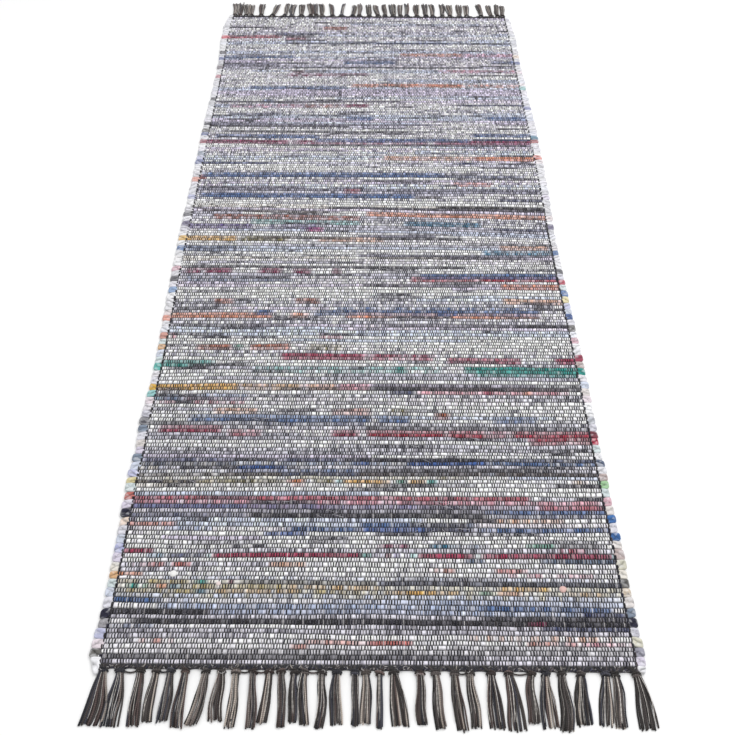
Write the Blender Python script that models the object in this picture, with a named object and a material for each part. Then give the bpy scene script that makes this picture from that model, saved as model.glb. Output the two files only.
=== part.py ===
"""Rag rug: a flat woven runner with a knotted fringe at each end.

The cloth is a plain weave of rag strips (weft, across) on thin charcoal yarn (warp, along).
Each rag row is raised as a rib, and the sides are scalloped where a strip turns back into the
next row. At each end the warp is gathered into a narrow heading and tied into tassels, which
lie on the floor. Units are metres, +Z is up, +Y runs along the rug, and the origin is on the
floor under its middle.
"""

from collections import namedtuple
from math import copysign

import bpy
import numpy as np

# Driving dimensions
BODY_WIDTH = 0.800  # across the rag turns at the sides, before their unevenness
BODY_LENGTH = 2.000  # between the outer faces of the two headings
BOUND_WIDTH = 0.768  # across the edge warps, inside the rag turns
HEADING_WIDTH = 0.770
HEADING_DEPTH = 0.010
PIECE_GAP = 0.0003
FRINGE_REACH = 1.0845  # from the middle of the rug to the longest tips
ROW_SLANT = 0.0085  # how far a row drops towards the near end for each metre to the right

# Rag rows
ROW_COUNT = 238
ROW_PITCH_SPREAD = 0.09  # uneven rag thickness, as a share of the row pitch
VALLEY_HEIGHT = 0.0036
CREST_HEIGHT = 0.0058
CREST_SPREAD = 0.0006
TURN_HEIGHT = 0.0030  # top of the outermost face of a rag turn
TURN_LOW_HEIGHT = 0.0024  # the same at the start and end of a row
TURN_NOTCH = 0.0030  # how far the outline steps in between two turns
TURN_BULGE = 0.0006

# Heading and tassels
HEADING_EDGE_HEIGHT = 0.0040
HEADING_CROWN_HEIGHT = 0.0052
KNOT_ROOT_WIDTH = 0.0080
KNOT_WIDTH = 0.0110
KNOT_HEIGHT = 0.0062
KNOT_LENGTH = 0.0040  # from the heading to the thickest part of the knot
NECK_WIDTH = 0.0080
NECK_HEIGHT = 0.0046
NECK_AT = 0.0080
STRANDS = 4
STRAND_TIP_HEIGHT = 0.0024
STRAND_FILL = 0.84  # share of its place that a strand fills, the rest being the gap
BEND_AT = 0.45  # where along a strand its bend lies, as a share of its length
BEND_LEAN = 0.30  # share of the tassel's lean that it has by there
BEND_SPREAD = 0.62  # share of its widening
SHORTEST, LONGEST = 0.0745, 0.0830  # tassels, from the heading to the tips

# How far the sides stray from the straight outline, in mm, outwards positive
Side = namedtuple("Side", "along left right")
SIDES = [
    Side(-1000, -2.0, -5.0),
    Side(-972, 2.5, -2.0),
    Side(-930, -1.0, -3.5),
    Side(-860, -2.8, -2.5),
    Side(-815, -1.0, -0.8),
    Side(-718, 0.3, -3.6),
    Side(-645, 3.4, -1.4),
    Side(-590, -2.4, -4.0),
    Side(-535, 4.0, -2.4),
    Side(-490, -1.0, -0.8),
    Side(-370, -3.6, 0.0),
    Side(-150, 2.8, -4.0),
    Side(5, 3.8, -4.0),
    Side(120, 2.3, 2.0),
    Side(385, 3.0, 5.8),
    Side(600, -1.0, 2.8),
    Side(730, -1.2, 0.0),
    Side(860, 5.8, 4.0),
    Side(940, 5.0, -0.4),
    Side(1000, -1.5, -4.0),
]

# Tassels, left to right, in mm: middle of the knot, how far the tips lean to the right of it,
# and the width over the tips
Tassel = namedtuple("Tassel", "at lean spread")
NEAR_TASSELS = [
    Tassel(-377, -5, 30),
    Tassel(-353, -2, 26),
    Tassel(-324, 1, 19),
    Tassel(-302, -2, 16),
    Tassel(-281, -2, 16),
    Tassel(-260, -3, 17),
    Tassel(-231, -13, 16),
    Tassel(-209, -1, 18),
    Tassel(-188, -2, 14),
    Tassel(-164, 2, 13),
    Tassel(-141, -5, 13),
    Tassel(-124, 4, 11),
    Tassel(-105, 1, 12),
    Tassel(-91, 3, 13),
    Tassel(-66, -2, 12),
    Tassel(-45, 1, 18),
    Tassel(-19, 1, 10),
    Tassel(-4, 0, 15),
    Tassel(16, -1, 8),
    Tassel(36, 8, 25),
    Tassel(73, 1, 14),
    Tassel(95, 5, 14),
    Tassel(122, 7, 16),
    Tassel(144, 4, 15),
    Tassel(174, 3, 21),
    Tassel(199, 4, 23),
    Tassel(231, -4, 15),
    Tassel(251, -2, 22),
    Tassel(274, -2, 19),
    Tassel(301, -5, 23),
    Tassel(336, -10, 20),
    Tassel(350, -4, 17),
    Tassel(380, 3, 24),
]
FAR_TASSELS = [
    Tassel(-381, -5, 14),
    Tassel(-366, -5, 15),
    Tassel(-349, -5, 13),
    Tassel(-333, -5, 15),
    Tassel(-306, 0, 16),
    Tassel(-274, 12, 16),
    Tassel(-239, 6, 13),
    Tassel(-219, 3, 17),
    Tassel(-191, -2, 16),
    Tassel(-165, -6, 16),
    Tassel(-148, -7, 14),
    Tassel(-133, -6, 14),
    Tassel(-103, -7, 12),
    Tassel(-78, 7, 8),
    Tassel(-45, 3, 13),
    Tassel(-27, 0, 12),
    Tassel(1, -3, 16),
    Tassel(27, -8, 16),
    Tassel(46, -3, 13),
    Tassel(69, -3, 22),
    Tassel(90, 0, 13),
    Tassel(108, 0, 12),
    Tassel(137, 0, 16),
    Tassel(162, -2, 15),
    Tassel(181, -2, 14),
    Tassel(209, 0, 14),
    Tassel(230, -1, 18),
    Tassel(257, 1, 18),
    Tassel(278, 0, 16),
    Tassel(318, -4, 14),
    Tassel(347, -4, 12),
    Tassel(366, 1, 12),
    Tassel(379, 3, 12),
]

MM = 0.001
PITCH_SEED, HEIGHT_SEED, FRINGE_SEED = 11, 12, 14


def clear_scene():
    """Starts from an empty scene."""
    for thing in list(bpy.data.objects):
        bpy.data.objects.remove(thing, do_unlink=True)


def yarn_material(name, colour, roughness):
    """A plain matt cloth finish."""
    material = bpy.data.materials.new(name)
    material.use_nodes = True
    shader = material.node_tree.nodes["Principled BSDF"]
    shader.inputs["Base Color"].default_value = (*colour, 1.0)
    shader.inputs["Roughness"].default_value = roughness
    shader.inputs["Metallic"].default_value = 0.0
    material.diffuse_color = (*colour, 1.0)
    return material


def add_solid(name, points, faces, material):
    """Makes one named object from points and faces, with every face pointing out."""
    mesh = bpy.data.meshes.new(name)
    mesh.from_pydata(points, [], faces)
    mesh.materials.append(material)
    mesh.validate()
    solid = bpy.data.objects.new(name, mesh)
    bpy.context.scene.collection.objects.link(solid)
    return solid


def slanted(x, y, z):
    """A point of the rug, with the slant that the rows have."""
    return (x, y - ROW_SLANT * x, z)


def row_lines():
    """Places along the rug of the line between two rows and of the crest of each, in turn."""
    length = BODY_LENGTH - 2 * (HEADING_DEPTH + PIECE_GAP)
    spread = np.random.default_rng(PITCH_SEED).uniform(-1, 1, ROW_COUNT)
    pitches = 1 + ROW_PITCH_SPREAD * spread
    edges = np.concatenate([[0], np.cumsum(pitches)]) / pitches.sum() * length - length / 2
    lines = np.empty(2 * ROW_COUNT + 1)
    lines[0::2] = edges
    lines[1::2] = (edges[:-1] + edges[1:]) / 2
    return lines


def side_reach(along, side, line):
    """Distance from the middle to the outline: the straight side, its unevenness and a turn."""
    stray = [s.left if side < 0 else s.right for s in SIDES]
    reach = BODY_WIDTH / 2 + np.interp(along / MM, [s.along for s in SIDES], stray) * MM
    if line % 2:
        return reach
    between_turns = (line // 2) % 2 == (0 if side < 0 else 1)
    return reach - TURN_NOTCH if between_turns else reach + TURN_BULGE


def woven_field(material):
    """The cloth: ribs across its top, a flat underside, and a scalloped edge on each side."""
    lines = row_lines()
    heights = np.random.default_rng(HEIGHT_SEED).uniform(-1, 1, len(lines))
    points, faces = [], []
    for line, along in enumerate(lines):
        crest = line % 2
        top = CREST_HEIGHT + CREST_SPREAD * heights[line] if crest else VALLEY_HEIGHT
        turn = TURN_HEIGHT if crest else TURN_LOW_HEIGHT
        left = side_reach(along, -1, line)
        right = side_reach(along, 1, line)
        points += [
            slanted(-left, along, 0.0),
            slanted(-left, along, turn),
            slanted(-BOUND_WIDTH / 2, along, top),
            slanted(BOUND_WIDTH / 2, along, top),
            slanted(right, along, turn),
            slanted(right, along, 0.0),
        ]
    ring = 6
    for line in range(len(lines) - 1):
        here, there = line * ring, (line + 1) * ring
        for k in range(ring):
            k_next = (k + 1) % ring
            faces.append((here + k, here + k_next, there + k_next, there + k))
    last = (len(lines) - 1) * ring
    faces.append(tuple(reversed(range(ring))))
    faces.append(tuple(range(last, last + ring)))
    return add_solid("woven_field", points, faces, material)


class Fringe:
    """Collects the points and faces of one heading and its tassels."""

    def __init__(self, end):
        self.end = end  # -1 at the near end, 1 at the far end
        self.points = []
        self.faces = []

    def point(self, x, out, z):
        """Adds a point given by its distance out from the heading's outer face."""
        reach = BODY_LENGTH / 2 + out
        x, y, z = slanted(x, self.end * reach, z)
        if abs(y) > FRINGE_REACH:
            y = copysign(FRINGE_REACH, y)
        self.points.append((x, y, z))
        return len(self.points) - 1

    def face(self, *corners):
        """Adds a face whose corners run anticlockwise as seen at the near end."""
        self.faces.append(corners if self.end < 0 else tuple(reversed(corners)))

    def bridge(self, ring, ring_next):
        """Joins two rings that have as many points each."""
        for k in range(len(ring)):
            k_next = (k + 1) % len(ring)
            self.face(ring[k], ring[k_next], ring_next[k_next], ring_next[k])


def heading_section(fringe, x):
    """One cross-section of the heading: inner face, crown and outer face, from the floor."""
    return {
        "inner_low": fringe.point(x, -HEADING_DEPTH, 0.0),
        "inner_top": fringe.point(x, -HEADING_DEPTH, HEADING_EDGE_HEIGHT),
        "crown": fringe.point(x, -HEADING_DEPTH / 2, HEADING_CROWN_HEIGHT),
        "outer_top": fringe.point(x, 0.0, HEADING_EDGE_HEIGHT),
        "outer_low": fringe.point(x, 0.0, 0.0),
    }


def heading_stretch(fringe, a, b, open_face):
    """Faces of the heading between two sections, its outer face left open for a knot."""
    order = ["outer_low", "inner_low", "inner_top", "crown", "outer_top"]
    for k, corner in enumerate(order[:-1]):
        after = order[k + 1]
        fringe.face(a[corner], a[after], b[after], b[corner])
    if not open_face:
        fringe.face(a["outer_top"], a["outer_low"], b["outer_low"], b["outer_top"])


def box_ring(fringe, x, out, width, height, low=0.0):
    """A ring of four points, anticlockwise from the lower left as seen from outside."""
    return [
        fringe.point(x - width / 2, out, low),
        fringe.point(x + width / 2, out, low),
        fringe.point(x + width / 2, out, height),
        fringe.point(x - width / 2, out, height),
    ]


def neck(fringe, x):
    """The row of points below the knot that the strands start from, low and high."""
    places = np.linspace(-NECK_WIDTH / 2, NECK_WIDTH / 2, STRANDS + 1)
    low = [fringe.point(x + p, NECK_AT, 0.0) for p in places]
    high = [fringe.point(x + p, NECK_AT, NECK_HEIGHT) for p in places]
    return low, high


def strand(fringe, root, middle, tip):
    """One strand: a ring at its root, one at its bend and one at its tip, which is closed."""
    bend_ring = box_ring(fringe, *middle)
    tip_ring = box_ring(fringe, *tip)
    fringe.bridge(root, bend_ring)
    fringe.bridge(bend_ring, tip_ring)
    fringe.face(*tip_ring)


def tassel_on(fringe, a, b, tassel, length):
    """A knot on the heading's open face between sections a and b, and its strands."""
    x = tassel.at * MM
    lean, spread = tassel.lean * MM, tassel.spread * MM
    root = [a["outer_low"], b["outer_low"], b["outer_top"], a["outer_top"]]
    knot = box_ring(fringe, x, KNOT_LENGTH, KNOT_WIDTH, KNOT_HEIGHT)
    fringe.bridge(root, knot)
    low, high = neck(fringe, x)
    fringe.face(knot[0], knot[1], *reversed(low))
    fringe.face(knot[1], knot[2], high[-1], low[-1])
    fringe.face(knot[2], knot[3], *high)
    fringe.face(knot[3], knot[0], low[0], high[0])
    bend_out = NECK_AT + BEND_AT * (length - NECK_AT)
    bend_spread = NECK_WIDTH + BEND_SPREAD * (spread - NECK_WIDTH)
    bend_height = (NECK_HEIGHT + STRAND_TIP_HEIGHT) / 2
    for k in range(STRANDS):
        place = (k + 0.5) / STRANDS - 0.5
        middle_x = x + BEND_LEAN * lean + place * bend_spread
        tip_x = x + lean + place * spread
        middle = (middle_x, bend_out, STRAND_FILL * bend_spread / STRANDS, bend_height)
        tip = (tip_x, length, STRAND_FILL * spread / STRANDS, STRAND_TIP_HEIGHT)
        strand(fringe, [low[k], low[k + 1], high[k + 1], high[k]], middle, tip)


def fringe_end(name, end, tassels, material):
    """A heading with its knotted tassels, in one piece."""
    fringe = Fringe(end)
    lengths = np.random.default_rng(FRINGE_SEED + end).uniform(SHORTEST, LONGEST, len(tassels))
    first = before = heading_section(fringe, -HEADING_WIDTH / 2)
    for tassel, length in zip(tassels, lengths):
        middle = tassel.at * MM
        a = heading_section(fringe, middle - KNOT_ROOT_WIDTH / 2)
        b = heading_section(fringe, middle + KNOT_ROOT_WIDTH / 2)
        heading_stretch(fringe, before, a, open_face=False)
        heading_stretch(fringe, a, b, open_face=True)
        tassel_on(fringe, a, b, tassel, length)
        before = b
    last = heading_section(fringe, HEADING_WIDTH / 2)
    heading_stretch(fringe, before, last, open_face=False)
    fringe.face(*reversed(list(first.values())))
    fringe.face(*last.values())
    return add_solid(name, fringe.points, fringe.faces, material)


def main():
    clear_scene()
    rag = yarn_material("woven_rag", (0.50, 0.51, 0.56), 0.92)
    yarn = yarn_material("charcoal_yarn", (0.055, 0.052, 0.053), 0.88)
    woven_field(rag)
    fringe_end("fringe_near", -1, NEAR_TASSELS, yarn)
    fringe_end("fringe_far", 1, FAR_TASSELS, yarn)


main()
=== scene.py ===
from collections import namedtuple
from math import pi, radians

import bpy
import numpy as np
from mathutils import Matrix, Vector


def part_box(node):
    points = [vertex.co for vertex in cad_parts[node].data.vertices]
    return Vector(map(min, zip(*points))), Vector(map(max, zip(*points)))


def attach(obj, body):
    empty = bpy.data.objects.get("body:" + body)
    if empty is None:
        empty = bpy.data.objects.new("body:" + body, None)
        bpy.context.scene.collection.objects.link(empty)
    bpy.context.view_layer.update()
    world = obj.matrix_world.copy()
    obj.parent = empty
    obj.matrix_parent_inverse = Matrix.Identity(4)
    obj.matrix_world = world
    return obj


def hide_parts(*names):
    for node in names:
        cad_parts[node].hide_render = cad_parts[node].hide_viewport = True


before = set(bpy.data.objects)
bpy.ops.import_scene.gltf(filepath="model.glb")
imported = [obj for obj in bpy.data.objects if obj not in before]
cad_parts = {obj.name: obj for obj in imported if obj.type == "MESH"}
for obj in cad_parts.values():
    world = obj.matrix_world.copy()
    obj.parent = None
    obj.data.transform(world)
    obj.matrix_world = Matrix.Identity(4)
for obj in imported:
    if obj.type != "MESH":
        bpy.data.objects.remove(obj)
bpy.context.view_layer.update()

print("frame loaded with", len(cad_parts), "solids")

# everything is in metres; mm and cm turn the tables' numbers into metres
mm = 0.001
cm = 0.01

# the photograph's view, and even studio light with a soft key from the right
view = {
    "place": (0.0, -1.678, 1.308),
    "tiltDown": 45.54,  # degrees below level
    "turnRight": -0.05,
    "lens": 48.39,  # mm on the usual 36 mm sensor
}
studio = {
    "skyStrength": 0.83,
    "keyPlace": (1.3, 0.2, 2.9),
    "keySize": 2.6,
    "keyPower": 44.5,
    "floorWhite": 0.97,
    "floorSize": 14.0,
}


def addCamera():
    camera = bpy.data.objects.new("photoView", bpy.data.cameras.new("photoView"))
    bpy.context.scene.collection.objects.link(camera)
    camera.data.lens = view["lens"]
    camera.data.clip_start = 0.01
    camera.data.dof.use_dof = False
    camera.location = view["place"]
    camera.rotation_euler = (radians(90 - view["tiltDown"]), 0.0, -radians(view["turnRight"]))
    bpy.context.scene.camera = camera


def addLights():
    scene = bpy.context.scene
    world = bpy.data.worlds.new("studioSky")
    world.use_nodes = True
    sky = world.node_tree.nodes["Background"]
    sky.inputs["Color"].default_value = (1.0, 1.0, 1.0, 1.0)
    sky.inputs["Strength"].default_value = studio["skyStrength"]
    scene.world = world
    lamp = bpy.data.lights.new("keyLight", "AREA")
    lamp.shape = "DISK"
    lamp.size = studio["keySize"]
    lamp.energy = studio["keyPower"]
    key = bpy.data.objects.new("keyLight", lamp)
    scene.collection.objects.link(key)
    key.location = studio["keyPlace"]
    key.rotation_euler = (-key.location).to_track_quat("-Z", "Y").to_euler()
    scene.view_settings.view_transform = "Standard"


def addFloor():
    bpy.ops.mesh.primitive_plane_add(size=studio["floorSize"])
    floor = bpy.context.object
    floor.name = "studioFloor"
    paint = bpy.data.materials.new("whitePaper")
    paint.use_nodes = True
    shader = paint.node_tree.nodes["Principled BSDF"]
    shader.inputs["Base Color"].default_value = (*[studio["floorWhite"]] * 3, 1.0)
    shader.inputs["Roughness"].default_value = 0.9
    shader.inputs["Specular IOR Level"].default_value = 0.1
    floor.data.materials.append(paint)


addCamera()
addLights()
addFloor()
print("camera, lights and floor placed")

# rag colours as hex codes; the first group is the ground of the rug, the rest are its stripes
Ground = namedtuple("Ground", "rag near far print")
groundRags = {  # colour, shares of the rag at the near and the far end, and how much print is on it
    "white": Ground("F8F8FC", 0.44, 0.26, 0.06),
    "offWhite": Ground("EDEAF0", 0.12, 0.10, 0.12),
    "printed": Ground("E6E5EE", 0.16, 0.16, 0.34),
    "paleGrey": Ground("D0CFDA", 0.08, 0.10, 0.20),
    "paleBlue": Ground("D5DCEC", 0.05, 0.14, 0.15),
    "lilac": Ground("DED7E8", 0.05, 0.18, 0.15),
    "midGrey": Ground("9A99A6", 0.04, 0.03, 0.25),
    "cream": Ground("EEE9E0", 0.03, 0.00, 0.10),
}
stripeRags = {
    "charcoal": "444349",
    "black": "2A2930",
    "brownGrey": "5B5350",
    "greyBlue": "6C7790",
    "navy": "303A60",
    "denim": "4E6B99",
    "royal": "365896",
    "periwinkle": "9FADC8",
    "slate": "52647A",
    "paleTeal": "86B9B4",
    "teal": "149288",
    "tealBlue": "377896",
    "green": "37856A",
    "olive": "877F50",
    "mustard": "DDAE5C",
    "straw": "B6A774",
    "sand": "DAD7C6",
    "white": "F4F3F7",
    "tan": "C9A87C",
    "peach": "DBAF94",
    "orange": "CC8052",
    "terracotta": "D98C68",
    "rust": "A8644A",
    "salmon": "D2998C",
    "coral": "C4726B",
    "red": "A62B41",
    "crimson": "9C3250",
    "burgundy": "8A3A5A",
    "rose": "B25C68",
    "pink": "DA9FAA",
    "magenta": "B03C7C",
    "purple": "64548A",
}

foldRags = {  # more rags, seen where they fold at the sides
    "linen": "E4DEDC",
    "oat": "DACBB8",
    "taupe": "C6B6B4",
    "palePink": "EFE3EA",
    "shell": "EDDACC",
    "blush": "DEB6C2",
    "melon": "E4A090",
    "coralRed": "DA705E",
    "brick": "A84C50",
    "mulberry": "8C4E5A",
    "strawberry": "D4485A",
    "raspberry": "BC304E",
    "apricot": "E1B68A",
    "butter": "E6DAA8",
    "sunny": "E4B654",
    "mint": "A9D2A4",
    "seaMist": "D6E2E4",
    "aqua": "9ACCCC",
    "jade": "5EB8B0",
    "skyBlue": "8EABD4",
    "cornflower": "4672AE",
    "lavender": "CACCE9",
    "wisteria": "B4B8DC",
    "iris": "8A8FC0",
    "hyacinth": "6A76A8",
    "plum": "4E4070",
    "ink": "2C2B3E",
    "iron": "55545C",
    "smoke": "6E6C6A",
    "pewter": "8C8289",
    "steel": "8692A4",
    "ash": "A5A3A8",
    "dove": "C8CAD2",
}
everyRag = {**{name: ground.rag for name, ground in groundRags.items()}, **stripeRags, **foldRags}

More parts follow.
